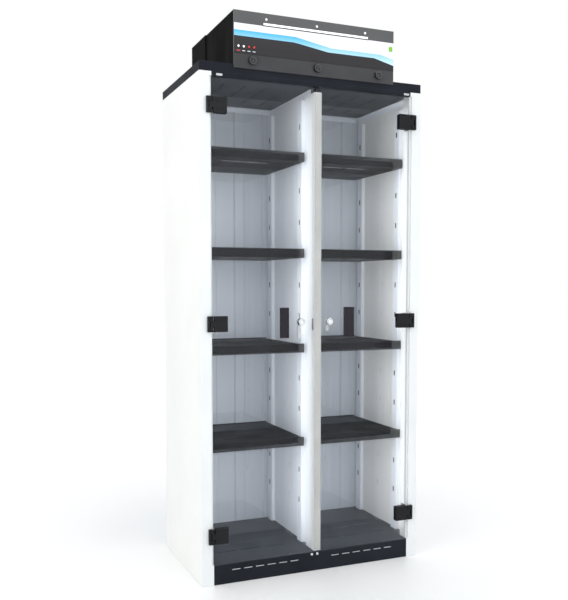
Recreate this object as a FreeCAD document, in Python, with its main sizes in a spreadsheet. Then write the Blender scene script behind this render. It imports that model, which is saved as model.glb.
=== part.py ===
import FreeCAD, Part
import math
import os
import Sketcher

os.makedirs("parts", exist_ok=True)
doc = FreeCAD.newDocument("storage_cabinet")

# Driving dimensions in millimetres; names that end in count are whole numbers
DIMENSIONS = (
    ("cabinet_width", 800), ("cabinet_depth", 450), ("carcass_height", 1635), ("sheet_gauge", 1.5),
    ("panel_thickness", 7), ("upright_width", 40), ("upright_depth", 45), ("rebate_width", 6),
    ("rebate_depth", 7), ("upright_edge_bevel", 1), ("post_shift", 11), ("post_width", 26),
    ("post_front", 8), ("post_rear", 70), ("post_head_drop", 30), ("partition_thickness", 4),
    ("rear_inset", 4.5), ("rib_depth", 6), ("rib_width", 34), ("rib_run", 5), ("rib_count", 7),
    ("plinth_height", 64), ("plinth_return", 14), ("plinth_slot_bridge", 12.5),
    ("plinth_slot_height", 3), ("plinth_slot_gap", 61.5), ("plinth_slot_count", 6),
    ("plinth_slot_level", 44), ("plinth_slot_start", 62), ("tray_gauge", 2), ("tray_flange", 20),
    ("tray_slot_length", 74), ("tray_slot_width", 6), ("tray_slot_pitch", 91),
    ("tray_slot_count", 3), ("tray_slot_front", 110), ("foot_radius", 19), ("foot_pad_height", 10),
    ("foot_screw_radius", 5), ("foot_inset_x", 30), ("foot_inset_y", 60), ("foot_nut_height", 8),
    ("foot_nut_radius", 9), ("hexagon_side_count", 6), ("stud_radius", 4), ("stud_reach", 3),
    ("stud_level", 57), ("stud_spread", 20), ("stud_shift", -2), ("header_height", 13),
    ("header_depth", 18), ("ceiling_drop", 7), ("ceiling_gauge", 1.5), ("ceiling_slot_length", 66),
    ("ceiling_slot_width", 6), ("ceiling_slot_pitch", 73), ("ceiling_slot_count", 4),
    ("ceiling_row_pitch", 95), ("ceiling_row_count", 3), ("ceiling_slot_front", 105),
    ("ceiling_slot_start", 119), ("rail_leg", 16), ("catch_width", 13), ("catch_shift", -3.5),
    ("catch_rear", 26), ("standard_depth", 13), ("standard_width", 36), ("standard_front", 108),
    ("standard_rear_gap", 16), ("standard_head_drop", 35), ("hook_slot_width", 4),
    ("hook_slot_height", 18), ("hook_slot_offset", 23), ("hook_slot_head_gap", 88),
    ("first_hook_slot", 214.8), ("hook_slot_count", 13), ("shelf_front", 80), ("shelf_height", 31),
    ("shelf_rim", 4), ("shelf_end_gap", 1.6), ("shelf_edge_bevel", 1.2), ("shelf_drop", 16),
    ("shelf_count", 4), ("slots_per_shelf_count", 3), ("lowest_shelf_slot_count", 2),
    ("shelf_slot_length", 74), ("shelf_slot_width", 6), ("shelf_slot_pitch", 91),
    ("shelf_slot_count", 2), ("shelf_slot_setback", 77), ("right_slot_shift", -17),
    ("clip_reach", 12), ("clip_thickness", 2.4), ("clip_web", 1.2), ("clip_gap", 0.3),
    ("clip_tongue", 4.5), ("slab_thickness", 30), ("slab_wall", 2.5), ("slab_edge_bevel", 1.5),
    ("mouth_width", 480), ("mouth_front", 40), ("mouth_setback", 26), ("glass_thickness", 5),
    ("glass_edge_gap", 1.5), ("glass_seam", 3), ("glass_foot", 67), ("glass_head_drop", 15),
    ("glass_corner_bevel", 2), ("fitting_clearance", 0.5), ("hinge_outer", 22),
    ("hinge_split", 0.5), ("hinge_width", 66), ("hinge_height", 50), ("hinge_low_level", 162),
    ("hinge_mid_level", 847), ("hinge_high_drop", 103), ("hinge_axis_inset", 35),
    ("hinge_axis_front", 5.5), ("hinge_barrel_radius", 5), ("hinge_relief", 8),
    ("hinge_moving_edge", 1), ("hinge_knuckle_height", 15), ("hinge_knuckle_gap", 0.5),
    ("hinge_pin_radius", 2.5), ("hinge_pin_clearance", 0.05), ("hinge_pin_head", 1.5),
    ("hinge_notch_depth", 18), ("hinge_notch_height", 26), ("hinge_edge_bevel", 1.5),
    ("clamp_edge", 46), ("clamp_thickness", 4), ("bracket_thickness", 4), ("bracket_depth", 25),
    ("handle_near", 104), ("handle_width", 32), ("handle_height", 99), ("handle_level", 847.5),
    ("handle_depth", 20), ("handle_wall", 3), ("handle_foot_width", 20), ("handle_lip", 5),
    ("handle_edge_bevel", 2.5), ("lock_place", 52), ("lock_level", 849), ("lock_flange_radius", 12),
    ("lock_flange", 3), ("lock_barrel_radius", 9.5), ("lock_nut_radius", 13), ("lock_nut", 3),
    ("lock_plug_radius", 5.5), ("lock_clearance", 0.05), ("keyway_width", 1.6),
    ("keyway_height", 7), ("keyway_depth", 5), ("cam_front", 18), ("cam_thickness", 2.4),
    ("cam_width", 12), ("cam_gap", 0.3), ("cam_bite", 5), ("strike_rise", 9), ("strike_fall", 29),
    ("strike_front", 14), ("strike_rear", 26), ("module_width", 575), ("module_height", 166),
    ("casing_lap", 5), ("module_gauge", 1.2), ("hood_depth", 165), ("hood_growth", 2.4),
    ("seat_gap", 0.3), ("panel_reach", 6), ("panel_gauge", 1.5), ("panel_rise", 34),
    ("panel_joint", 0.6), ("panel_edge_bevel", 1), ("cover_drop", 12), ("knob_spacing", 226.5),
    ("knob_rise", 13), ("knob_radius", 13), ("knob_height", 9), ("knob_side_count", 16),
    ("knob_gap", 1), ("knob_shaft_radius", 3), ("knob_clearance", 0.08), ("latch_length", 16),
    ("latch_width", 6.5), ("latch_thickness", 2), ("latch_gap", 0.6), ("latch_bar_height", 26),
    ("latch_slot_width", 8), ("latch_slot_height", 19), ("casing_flange", 15), ("bar_length", 375),
    ("bar_height", 6), ("bar_drop", 34), ("bar_proud", 1), ("lamp_size", 6), ("lamp_pitch", 17.5),
    ("lamp_start", 272.5), ("lamp_count", 4), ("lamp_rise", 55), ("lamp_proud", 1),
    ("button_width", 12), ("button_height", 15), ("button_place", 274.8), ("button_rise", 104.8),
    ("button_proud", 3), ("button_flange", 2), ("button_lip", 1.5), ("button_clearance", 0.4),
    ("button_travel", 2), ("switch_size", 10), ("switch_gap", 0.4), ("board_width", 93),
    ("board_height", 85), ("board_thickness", 1.6), ("board_front", 8), ("board_rise", 41),
    ("board_edge", 283), ("board_post_size", 6), ("board_post_inset", 8),
    ("filter_half_width", 260), ("filter_front", 20), ("filter_rear_gap", 14),
    ("prefilter_height", 16), ("filter_height", 70), ("filter_frame", 10),
    ("filter_cell_width", 40), ("filter_cell_pitch", 56), ("filter_cell_count", 9),
    ("fan_rear_gap", 83), ("fan_width", 172), ("fan_depth", 150), ("fan_height", 51),
    ("fan_bore", 73), ("fan_side_count", 16), ("fan_corner_bevel", 8), ("fan_base", 4),
    ("fan_strut_width", 9), ("fan_strut_count", 3), ("motor_radius", 26), ("motor_height", 14),
    ("hub_radius", 28), ("hub_height", 30), ("hub_gap", 1), ("shaft_radius", 3),
    ("shaft_clearance", 0.05), ("blade_count", 5), ("blade_root", 24), ("blade_tip", 66),
    ("blade_root_chord", 30), ("blade_tip_chord", 50), ("blade_run", 25), ("blade_rise", 20),
    ("blade_thickness", 2), ("grille_slot_width", 5), ("grille_slot_length", 126),
    ("grille_slot_pitch", 11), ("grille_slot_count", 13), ("inlet_place", 215), ("inlet_rise", 55),
    ("inlet_width", 48), ("inlet_height", 30), ("inlet_flange", 2), ("inlet_rim", 5),
    ("inlet_depth", 24), ("socket_width", 24), ("socket_height", 16), ("socket_depth", 16),
    ("prong_width", 2), ("prong_height", 5), ("prong_spread", 7), ("cut_overrun", 2),
)


class Size:
    """A size in millimetres, kept with the sheet formula that it comes from."""

    def __init__(self, formula, value):
        self.formula = formula
        self.value = float(value)

    def joined(self, sign, other, value):
        return Size(f"({self.formula} {sign} {as_size(other).formula})", value)

    def __add__(self, other):
        return self.joined("+", other, self.value + as_size(other).value)

    def __sub__(self, other):
        return self.joined("-", other, self.value - as_size(other).value)

    def __mul__(self, other):
        return self.joined("*", other, self.value * as_size(other).value)

    def __truediv__(self, other):
        return self.joined("/", other, self.value / as_size(other).value)

    def __neg__(self):
        return Size(f"(0 - {self.formula})", -self.value)

    __radd__ = __add__
    __rmul__ = __mul__


def as_size(number):
    return number if isinstance(number, Size) else Size(repr(float(number)), number)


def write_sheet(table):
    sheet = doc.addObject("Spreadsheet::Sheet", "Sizes")
    for row, (alias, value) in enumerate(table, 1):
        sheet.set(f"A{row}", alias)
        sheet.set(f"B{row}", str(value))
        sheet.setAlias(f"B{row}", alias)
    doc.recompute()
    return {alias: Size(f"Sizes.{alias}", sheet.get(alias)) for alias, value in table}


S = write_sheet(DIMENSIONS)
ZERO = as_size(0)
made = []

# Planes and levels that several pieces share, from the middle, the front plane and the floor
gauge = S["sheet_gauge"]
plan_middle = (S["cabinet_depth"] + S["inlet_flange"] - S["handle_depth"]) / 2
half_width = S["cabinet_width"] / 2
inner_half = half_width - S["panel_thickness"]
opening_half = half_width - S["upright_width"]
rebate_half = opening_half + S["rebate_width"]
back_face = S["cabinet_depth"] - S["rear_inset"] - gauge - S["rib_depth"]
floor_level = S["plinth_height"] + S["tray_gauge"]
slab_top = S["carcass_height"] + S["slab_thickness"]
post_low = S["post_shift"] - S["post_width"] / 2
post_high = S["post_shift"] + S["post_width"] / 2
partition_low = S["post_shift"] - S["partition_thickness"] / 2
partition_high = S["post_shift"] + S["partition_thickness"] / 2
wall_face = inner_half - S["standard_depth"]
left_bay_face = partition_low - S["standard_depth"]
right_bay_face = partition_high + S["standard_depth"]
module_half = S["module_width"] / 2
module_top = slab_top + S["module_height"]
hood_top = module_top + S["hood_growth"]
panel_front = -S["panel_reach"]
panel_back = -S["panel_reach"] + S["panel_gauge"]
post_head = S["carcass_height"] - S["post_head_drop"]
header_foot = S["carcass_height"] - S["header_height"]
ceiling_level = S["carcass_height"] - S["ceiling_drop"]
standard_head = S["carcass_height"] - S["standard_head_drop"]
glass_head = S["carcass_height"] - S["glass_head_drop"]
hinge_high_level = S["carcass_height"] - S["hinge_high_drop"]
standard_rear = back_face - S["standard_rear_gap"] - S["standard_width"]
hook_slot_run = standard_head - S["hook_slot_head_gap"] - S["first_hook_slot"]
hook_slot_pitch = hook_slot_run / (S["hook_slot_count"] - 1)
panel_foot = slab_top + S["panel_rise"]
cover_foot = slab_top - S["cover_drop"]
knob_level = slab_top + S["knob_rise"]
bar_level = module_top - S["bar_drop"]
lamp_level = slab_top + S["lamp_rise"]
button_level = slab_top + S["button_rise"]
board_foot = slab_top + S["board_rise"]
inlet_level = slab_top + S["inlet_rise"]
hood_front = S["cabinet_depth"] - S["hood_depth"]
module_depth = hood_front + S["casing_lap"]
filter_rear = module_depth - S["filter_rear_gap"]
mouth_rear = filter_rear - S["mouth_setback"]
fan_place = S["cabinet_depth"] - S["fan_rear_gap"]
plinth_slot_run = opening_half - S["plinth_slot_start"] - S["plinth_slot_gap"]
plinth_slot_pitch = (plinth_slot_run + S["plinth_slot_bridge"]) / S["plinth_slot_count"]
SIDES = ((-1, "left"), (1, "right"))


def whole(name):
    return int(round(S[name].value))


# Tools that make bodies and their features

def origin_part(body, role):
    return next(item for item in body.Origin.OriginFeatures if item.Role == role)


def free_body(name, x, y, z):
    """A body whose own frame stands at a place given from the middle, the front and the floor."""
    body = doc.addObject("PartDesign::Body", name)
    body.Label = name
    for axis, place in (("x", x), ("y", y - plan_middle), ("z", z)):
        body.setExpression(f"Placement.Base.{axis}", place.formula)
    return body


def new_body(name, x=ZERO, z=ZERO):
    """A handed-over body whose own frame stands on the cabinet's front plane."""
    body = free_body(name, x, ZERO, z)
    made.append(body)
    return body


def new_sketch(body, role, offset=ZERO):
    """A sketch on an origin plane of the body, moved along the plane's normal axis by offset."""
    sketch = body.newObject("Sketcher::SketchObject", body.Label + "_sketch")
    sketch.AttachmentSupport = [(origin_part(body, role), "")]
    sketch.MapMode = "FlatFace"
    lift = -offset if role == "XZ_Plane" else offset
    sketch.setExpression("AttachmentOffset.Base.z", lift.formula)
    return sketch


def pin_point(sketch, geometry, position, u, v):
    for kind, size in (("DistanceX", u), ("DistanceY", v)):
        rule = sketch.addConstraint(Sketcher.Constraint(kind, -1, 1, geometry, position, size.value))
        sketch.setExpression(f"Constraints[{rule}]", size.formula)


def polygon(sketch, points):
    """A closed outline of straight lines, each corner held by its two sizes."""
    points = [(as_size(u), as_size(v)) for u, v in points]
    first = sketch.GeometryCount
    count = len(points)
    corners = [FreeCAD.Vector(u.value, v.value, 0) for u, v in points]
    lines = [Part.LineSegment(corners[k], corners[(k + 1) % count]) for k in range(count)]
    sketch.addGeometry(lines, False)
    for k in range(count):
        sketch.addConstraint(Sketcher.Constraint("Coincident", first + k, 2, first + (k + 1) % count, 1))
        pin_point(sketch, first + k, 1, *points[k])


def square(sketch, u, v, size):
    half = size / 2
    rectangle(sketch, u - half, v - half, u + half, v + half)


def facets(sketch, radius, count):
    """A regular outline about the sketch's origin, its corners at radius."""
    turns = [math.tau * k / count for k in range(count)]
    polygon(sketch, [(radius * math.cos(turn), radius * math.sin(turn)) for turn in turns])


def hexagon(sketch, radius):
    facets(sketch, radius, whole("hexagon_side_count"))


def mirrored(sketch, side, points):
    """An outline drawn for the positive side, turned over where side is negative."""
    polygon(sketch, [(u * side, v) for u, v in points])


def rectangle(sketch, low_u, low_v, high_u, high_v):
    polygon(sketch, ((low_u, low_v), (high_u, low_v), (high_u, high_v), (low_u, high_v)))


def circle(sketch, u, v, radius):
    u, v, radius = as_size(u), as_size(v), as_size(radius)
    index = sketch.GeometryCount
    centre = FreeCAD.Vector(u.value, v.value, 0)
    sketch.addGeometry(Part.Circle(centre, FreeCAD.Vector(0, 0, 1), radius.value), False)
    pin_point(sketch, index, 3, u, v)
    rule = sketch.addConstraint(Sketcher.Constraint("Radius", index, radius.value))
    sketch.setExpression(f"Constraints[{rule}]", radius.formula)


def pad(body, sketch, length, backwards=False):
    feature = body.newObject("PartDesign::Pad", body.Label + "_pad")
    feature.Profile = sketch
    feature.setExpression("Length", as_size(length).formula)
    feature.Reversed = backwards
    return feature


def turned(body, sketch, axis="Z_Axis"):
    """A full turn of a sketch about an axis of the body."""
    feature = body.newObject("PartDesign::Revolution", body.Label + "_turn")
    feature.Profile = sketch
    feature.ReferenceAxis = (origin_part(body, axis), [""])
    return feature


def cut_through(body, sketch):
    feature = body.newObject("PartDesign::Pocket", body.Label + "_cut")
    feature.Profile = sketch
    feature.Type = "ThroughAll"
    feature.SideType = "Symmetric"
    return feature


def cut_to(body, sketch, depth, backwards=False):
    feature = body.newObject("PartDesign::Pocket", body.Label + "_pocket")
    feature.Profile = sketch
    feature.setExpression("Length", as_size(depth).formula)
    feature.Reversed = backwards
    return feature


def ring_of(body, feature, count):
    """Repeats a feature evenly round the body's upright axis."""
    pattern = body.newObject("PartDesign::PolarPattern", body.Label + "_ring")
    pattern.Originals = [feature]
    pattern.Axis = (origin_part(body, "Z_Axis"), [""])
    pattern.Occurrences = count
    body.Tip = pattern
    return pattern


def row_of(body, feature, axis, pitch, count):
    """Repeats a feature along an axis of the body, count times in all."""
    pattern = body.newObject("PartDesign::LinearPattern", body.Label + "_row")
    pattern.Originals = [feature]
    pattern.Direction = (origin_part(body, axis), [""])
    pattern.Occurrences = count
    pattern.setExpression("Length", (pitch * (count - 1)).formula)
    body.Tip = pattern
    return pattern


def grid_of(body, feature, first, second):
    """Repeats a feature in rows and columns: each direction is an axis, a pitch and a count."""
    steps = body.newObject("PartDesign::MultiTransform", body.Label + "_grid")
    patterns = []
    for axis, pitch, count in (first, second):
        pattern = body.newObject("PartDesign::LinearPattern", body.Label + "_step")
        pattern.Direction = (origin_part(body, axis), [""])
        pattern.Occurrences = count
        pattern.setExpression("Length", (pitch * (count - 1)).formula)
        patterns.append(pattern)
    steps.Originals = [feature]
    steps.Transformations = patterns
    body.Tip = steps
    return steps


def bevel(body, base, size, wanted):
    """Chamfers the edges of a feature whose middle and direction pass the test wanted."""
    doc.recompute()
    names = [f"Edge{k}" for k, edge in enumerate(base.Shape.Edges, 1)
             if wanted(edge.CenterOfMass, edge.tangentAt(edge.FirstParameter))]
    feature = body.newObject("PartDesign::Chamfer", body.Label + "_bevel")
    feature.Base = (base, names)
    feature.setExpression("Size", as_size(size).formula)
    return feature


def near(a, b):
    """True where two coordinates agree within a ten-thousandth of the cabinet's width."""
    return abs(a - as_size(b).value) < S["cabinet_width"].value / 10000


def side_low(side, near_middle, near_edge):
    return near_middle if side > 0 else -near_edge


def side_high(side, near_middle, near_edge):
    return near_edge if side > 0 else -near_middle


def block_at(name, low, high):
    """A closed block between two corners given from the middle, the front and the floor."""
    block = doc.addObject("Part::Box", name)
    for key, start, end in zip(("Length", "Width", "Height"), low, high):
        block.setExpression(key, (end - start).formula)
    for axis, place, shift in zip("xyz", low, (ZERO, -plan_middle, ZERO)):
        block.setExpression(f"Placement.Base.{axis}", (place + shift).formula)
    return block


def group(name, pieces):
    """Identical or paired solids that share one name, kept as separate solids."""
    bundle = doc.addObject("Part::Compound", name)
    bundle.Label = name
    bundle.Links = pieces
    made.append(bundle)
    return bundle


# Carcass

def side_panel(side, name):
    """A double-skinned side whose outer skin runs forward over the front upright."""
    rear = S["cabinet_depth"]
    front = S["upright_depth"]
    body = new_body(name)
    sketch = new_sketch(body, "XY_Plane")
    mirrored(sketch, side, ((half_width, gauge), (half_width - gauge, gauge), (half_width - gauge, front),
                            (inner_half, front), (inner_half, rear), (half_width, rear)))
    mirrored(sketch, side, ((half_width - gauge, front + gauge), (inner_half + gauge, front + gauge),
                            (inner_half + gauge, rear - gauge), (half_width - gauge, rear - gauge)))
    pad(body, sketch, S["carcass_height"])


def front_upright(side, name):
    """A folded tube with a rebate along the door opening, filled below and above the glass."""
    depth = S["upright_depth"]
    step = S["rebate_depth"]
    body = new_body(name)
    sketch = new_sketch(body, "XY_Plane")
    mirrored(sketch, side, ((half_width, ZERO), (rebate_half, ZERO), (rebate_half, step),
                            (opening_half, step), (opening_half, depth), (half_width - gauge, depth),
                            (half_width - gauge, gauge), (half_width, gauge)))
    mirrored(sketch, side, ((half_width - gauge * 2, gauge), (rebate_half + gauge, gauge),
                            (rebate_half + gauge, step + gauge), (opening_half + gauge, step + gauge),
                            (opening_half + gauge, depth - gauge),
                            (half_width - gauge * 2, depth - gauge)))
    tube = pad(body, sketch, S["carcass_height"])
    bevel(body, tube, S["upright_edge_bevel"],
          lambda c, t: abs(t.z) > abs(t.x) + abs(t.y) and near(c.y, 0)
          and near(abs(c.x), half_width))
    for foot, head in ((ZERO, floor_level), (header_foot, S["carcass_height"])):
        filler = new_sketch(body, "XY_Plane", foot)
        mirrored(filler, side, ((opening_half, ZERO), (rebate_half, ZERO), (rebate_half, step),
                                (opening_half, step)))
        pad(body, filler, head - foot)


def back_panel():
    """A rear sheet stiffened by upright ribs that stand out towards the shelves."""
    pitch = inner_half * 2 / whole("rib_count")
    valley = back_face + S["rib_depth"]
    reach = S["rib_width"] / 2
    run = S["rib_run"]
    face = [(-inner_half, valley)]
    for k in range(whole("rib_count")):
        middle = -inner_half + pitch * (k + 1 / 2)
        face += [(middle - reach - run, valley), (middle - reach, back_face),
                 (middle + reach, back_face), (middle + reach + run, valley)]
    face.append((inner_half, valley))
    body = new_body("back_panel")
    sketch = new_sketch(body, "XY_Plane")
    polygon(sketch, face + [(u, v + gauge) for u, v in reversed(face)])
    pad(body, sketch, S["carcass_height"])


def centre_post():
    """The stile between the bays, with an opening in each flank for the locks' cams."""
    body = new_body("centre_post", z=floor_level)
    sketch = new_sketch(body, "XY_Plane")
    rectangle(sketch, post_low, S["post_front"], post_high, S["post_rear"])
    rectangle(sketch, post_low + gauge, S["post_front"] + gauge, post_high - gauge,
              S["post_rear"] - gauge)
    tube = pad(body, sketch, post_head - floor_level)
    bevel(body, tube, S["upright_edge_bevel"],
          lambda c, t: abs(t.z) > abs(t.x) + abs(t.y) and near(c.y, S["post_front"]))
    strike = new_sketch(body, "YZ_Plane")
    middle = S["lock_level"] - floor_level
    rectangle(strike, S["strike_front"], middle - S["strike_fall"], S["strike_rear"],
              middle + S["strike_rise"])
    cut_through(body, strike)


def partition_panel():
    body = new_body("partition_panel", z=floor_level)
    sketch = new_sketch(body, "XY_Plane")
    rectangle(sketch, partition_low, S["post_rear"], partition_high, back_face)
    pad(body, sketch, ceiling_level - floor_level)


def shelf_standard(name, face, way, front, slot_place):
    """A channel with a row of slots in its face; way points from the face to its wall."""
    width = S["standard_width"]
    depth = S["standard_depth"]
    body = free_body(name, face, front, floor_level)
    sketch = new_sketch(body, "XY_Plane")
    mirrored(sketch, way, ((ZERO, ZERO), (depth, ZERO), (depth, gauge), (gauge, gauge),
                           (gauge, width - gauge), (depth, width - gauge), (depth, width),
                           (ZERO, width)))
    pad(body, sketch, standard_head - floor_level)
    slot = new_sketch(body, "YZ_Plane")
    middle = S["first_hook_slot"] - floor_level
    rectangle(slot, slot_place - S["hook_slot_width"] / 2, middle - S["hook_slot_height"] / 2,
              slot_place + S["hook_slot_width"] / 2, middle + S["hook_slot_height"] / 2)
    row_of(body, cut_through(body, slot), "Z_Axis", hook_slot_pitch, whole("hook_slot_count"))
    return body


def standard_rows():
    """Each standard row's front and the place of its slots from that front."""
    return (("front", S["standard_front"], S["hook_slot_offset"]),
            ("rear", standard_rear, S["standard_width"] - S["hook_slot_offset"]))


def bay_faces(side):
    """The two standard faces of a bay, each with the way from its face to its wall."""
    if side < 0:
        return ((-wall_face, -1), (left_bay_face, 1))
    return ((right_bay_face, -1), (wall_face, 1))


def standards():
    for side, word in SIDES:
        group(f"{word}_bay_standards", [
            shelf_standard(f"{word}_{spot}_standard", face, way, front, slot_place)
            for spot, front, slot_place in standard_rows() for face, way in bay_faces(side)])


def top_slab():
    """The black cap, hollow beneath, with the mouth that leads air up to the filters."""
    wall = S["slab_wall"]
    height = S["slab_thickness"]
    body = new_body("top_slab", z=S["carcass_height"])
    sketch = new_sketch(body, "XY_Plane")
    rectangle(sketch, -half_width, ZERO, half_width, S["cabinet_depth"])
    block = pad(body, sketch, height)
    bevel(body, block, S["slab_edge_bevel"],
          lambda c, t: near(c.z, height) and (near(c.y, 0) or near(abs(c.x), half_width)))
    hollow = new_sketch(body, "XY_Plane")
    rectangle(hollow, -half_width + wall, wall, half_width - wall, S["cabinet_depth"] - wall)
    cut_to(body, hollow, height - wall, backwards=True)
    mouth = new_sketch(body, "XY_Plane")
    rectangle(mouth, -S["mouth_width"] / 2, S["mouth_front"], S["mouth_width"] / 2, mouth_rear)
    cut_through(body, mouth)


def channel(name, depth, foot, head):
    """A folded front member between the uprights, open towards the rear."""
    body = new_body(name, x=-opening_half)
    sketch = new_sketch(body, "YZ_Plane")
    polygon(sketch, ((ZERO, foot), (depth, foot), (depth, foot + gauge), (gauge, foot + gauge),
                     (gauge, head - gauge), (depth, head - gauge), (depth, head), (ZERO, head)))
    pad(body, sketch, opening_half * 2)
    return body


def plinth_panel():
    """The kick board with its two groups of air slots."""
    body = channel("plinth_panel", S["plinth_return"], ZERO, S["plinth_height"])
    count = whole("plinth_slot_count")
    pitch = plinth_slot_pitch
    length = plinth_slot_pitch - S["plinth_slot_bridge"]
    reach = S["plinth_slot_height"] / 2
    level = S["plinth_slot_level"]
    start = S["plinth_slot_start"]
    for low in (start, opening_half * 2 - start - pitch * (count - 1) - length):
        slot = new_sketch(body, "XZ_Plane")
        rectangle(slot, low, level - reach, low + length, level + reach)
        row_of(body, cut_through(body, slot), "X_Axis", pitch, count)


def floor_tray():
    """The bottom plate of both bays, folded down along its sides and rear, with air slots."""
    plate = S["tray_gauge"]
    flange = S["tray_flange"]
    front = S["upright_depth"]
    body = new_body("floor_tray", z=S["plinth_height"])
    sketch = new_sketch(body, "XY_Plane")
    polygon(sketch, ((-opening_half, ZERO), (opening_half, ZERO), (opening_half, front),
                     (inner_half, front), (inner_half, back_face), (-inner_half, back_face),
                     (-inner_half, front), (-opening_half, front)))
    pad(body, sketch, plate)
    skirt = new_sketch(body, "XY_Plane", -flange)
    polygon(skirt, ((-inner_half, front), (-inner_half + plate, front),
                    (-inner_half + plate, back_face - plate), (inner_half - plate, back_face - plate),
                    (inner_half - plate, front), (inner_half, front), (inner_half, back_face),
                    (-inner_half, back_face)))
    pad(body, skirt, flange)
    count = whole("tray_slot_count")
    run = S["tray_slot_pitch"] * (count - 1) + S["tray_slot_length"]
    for middle in ((left_bay_face - wall_face) / 2, (right_bay_face + wall_face) / 2):
        slot = new_sketch(body, "XY_Plane")
        low = middle - run / 2
        rectangle(slot, low, S["tray_slot_front"], low + S["tray_slot_length"],
                  S["tray_slot_front"] + S["tray_slot_width"])
        row_of(body, cut_through(body, slot), "X_Axis", S["tray_slot_pitch"], count)


def levelling_feet():
    """Four hexagonal pads on screws that reach up to the floor tray."""
    feet = []
    for side, word in SIDES:
        for place in (S["foot_inset_y"], back_face - S["foot_inset_y"]):
            foot = free_body(f"{word}_foot", (opening_half - S["foot_inset_x"]) * side, place, ZERO)
            sole = new_sketch(foot, "XY_Plane")
            hexagon(sole, S["foot_radius"])
            pad(foot, sole, S["foot_pad_height"])
            screw = new_sketch(foot, "XY_Plane")
            hexagon(screw, S["foot_screw_radius"])
            pad(foot, screw, S["plinth_height"])
            nut = new_sketch(foot, "XY_Plane", S["plinth_height"] - S["foot_nut_height"])
            hexagon(nut, S["foot_nut_radius"])
            pad(foot, nut, S["foot_nut_height"])
            feet.append(foot)
    group("levelling_feet", feet)


def ceiling_panel():
    """The dark inner ceiling, slotted so that both bays breathe up into the filters."""
    front = S["upright_depth"]
    body = new_body("ceiling_panel", z=ceiling_level)
    sketch = new_sketch(body, "XY_Plane")
    polygon(sketch, ((-opening_half, S["header_depth"]), (opening_half, S["header_depth"]),
                     (opening_half, front), (inner_half, front), (inner_half, back_face),
                     (-inner_half, back_face), (-inner_half, front), (-opening_half, front)))
    pad(body, sketch, S["ceiling_gauge"])
    count = whole("ceiling_slot_count")
    pitch = S["ceiling_slot_pitch"]
    width = S["ceiling_slot_width"]
    row = S["ceiling_slot_front"]
    start = half_width - S["ceiling_slot_start"]
    for low in (-start, start - pitch * (count - 1)):
        slot = new_sketch(body, "XY_Plane")
        rectangle(slot, low - width / 2, row, low + width / 2, row + S["ceiling_slot_length"])
        grid_of(body, cut_through(body, slot), ("X_Axis", pitch, count),
                ("Y_Axis", S["ceiling_row_pitch"], whole("ceiling_row_count")))


def ceiling_rails():
    """Light angle rails under the ceiling, along the side walls and the back."""
    leg = S["rail_leg"]
    front = S["upright_depth"]
    pieces = []
    for side, word in SIDES:
        rail = free_body(f"{word}_ceiling_rail", ZERO, front, ceiling_level)
        sketch = new_sketch(rail, "XZ_Plane")
        mirrored(sketch, side, ((inner_half, ZERO), (inner_half - leg, ZERO),
                                (inner_half - leg, -gauge), (inner_half - gauge, -gauge),
                                (inner_half - gauge, -leg), (inner_half, -leg)))
        pad(rail, sketch, back_face - front, backwards=True)
        pieces.append(rail)
    for low, high in ((-inner_half + leg, partition_low), (partition_high, inner_half - leg)):
        rail = free_body("rear_ceiling_rail", low, back_face, ceiling_level)
        sketch = new_sketch(rail, "YZ_Plane")
        polygon(sketch, ((ZERO, ZERO), (-leg, ZERO), (-leg, -gauge), (-gauge, -gauge), (-gauge, -leg),
                         (ZERO, -leg)))
        pad(rail, sketch, high - low)
        pieces.append(rail)
    group("ceiling_rails", pieces)


def stop_studs():
    studs = []
    for side, word in SIDES:
        place = S["stud_shift"] + S["stud_spread"] / 2 * side
        stud = free_body(f"{word}_stud", place, ZERO, S["stud_level"])
        sketch = new_sketch(stud, "XZ_Plane")
        hexagon(sketch, S["stud_radius"])
        pad(stud, sketch, S["stud_reach"])
        studs.append(stud)
    group("stop_studs", studs)


def door_catch():
    """The block between the post's head and the header that both doors close on."""
    body = new_body("door_catch", x=S["post_shift"] + S["catch_shift"], z=post_head)
    sketch = new_sketch(body, "XY_Plane")
    half = S["catch_width"] / 2
    rectangle(sketch, -half, S["post_front"], half, S["catch_rear"])
    block = pad(body, sketch, header_foot - post_head)
    bevel(body, block, S["upright_edge_bevel"],
          lambda c, t: abs(t.z) > abs(t.x) + abs(t.y) and near(c.y, S["post_front"]))


# Shelves

def shelf_base(number):
    """The underside level of a shelf, counted from the lowest."""
    slot = whole("lowest_shelf_slot_count") + whole("slots_per_shelf_count") * number
    return S["first_hook_slot"] + hook_slot_pitch * slot - S["shelf_drop"]


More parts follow.
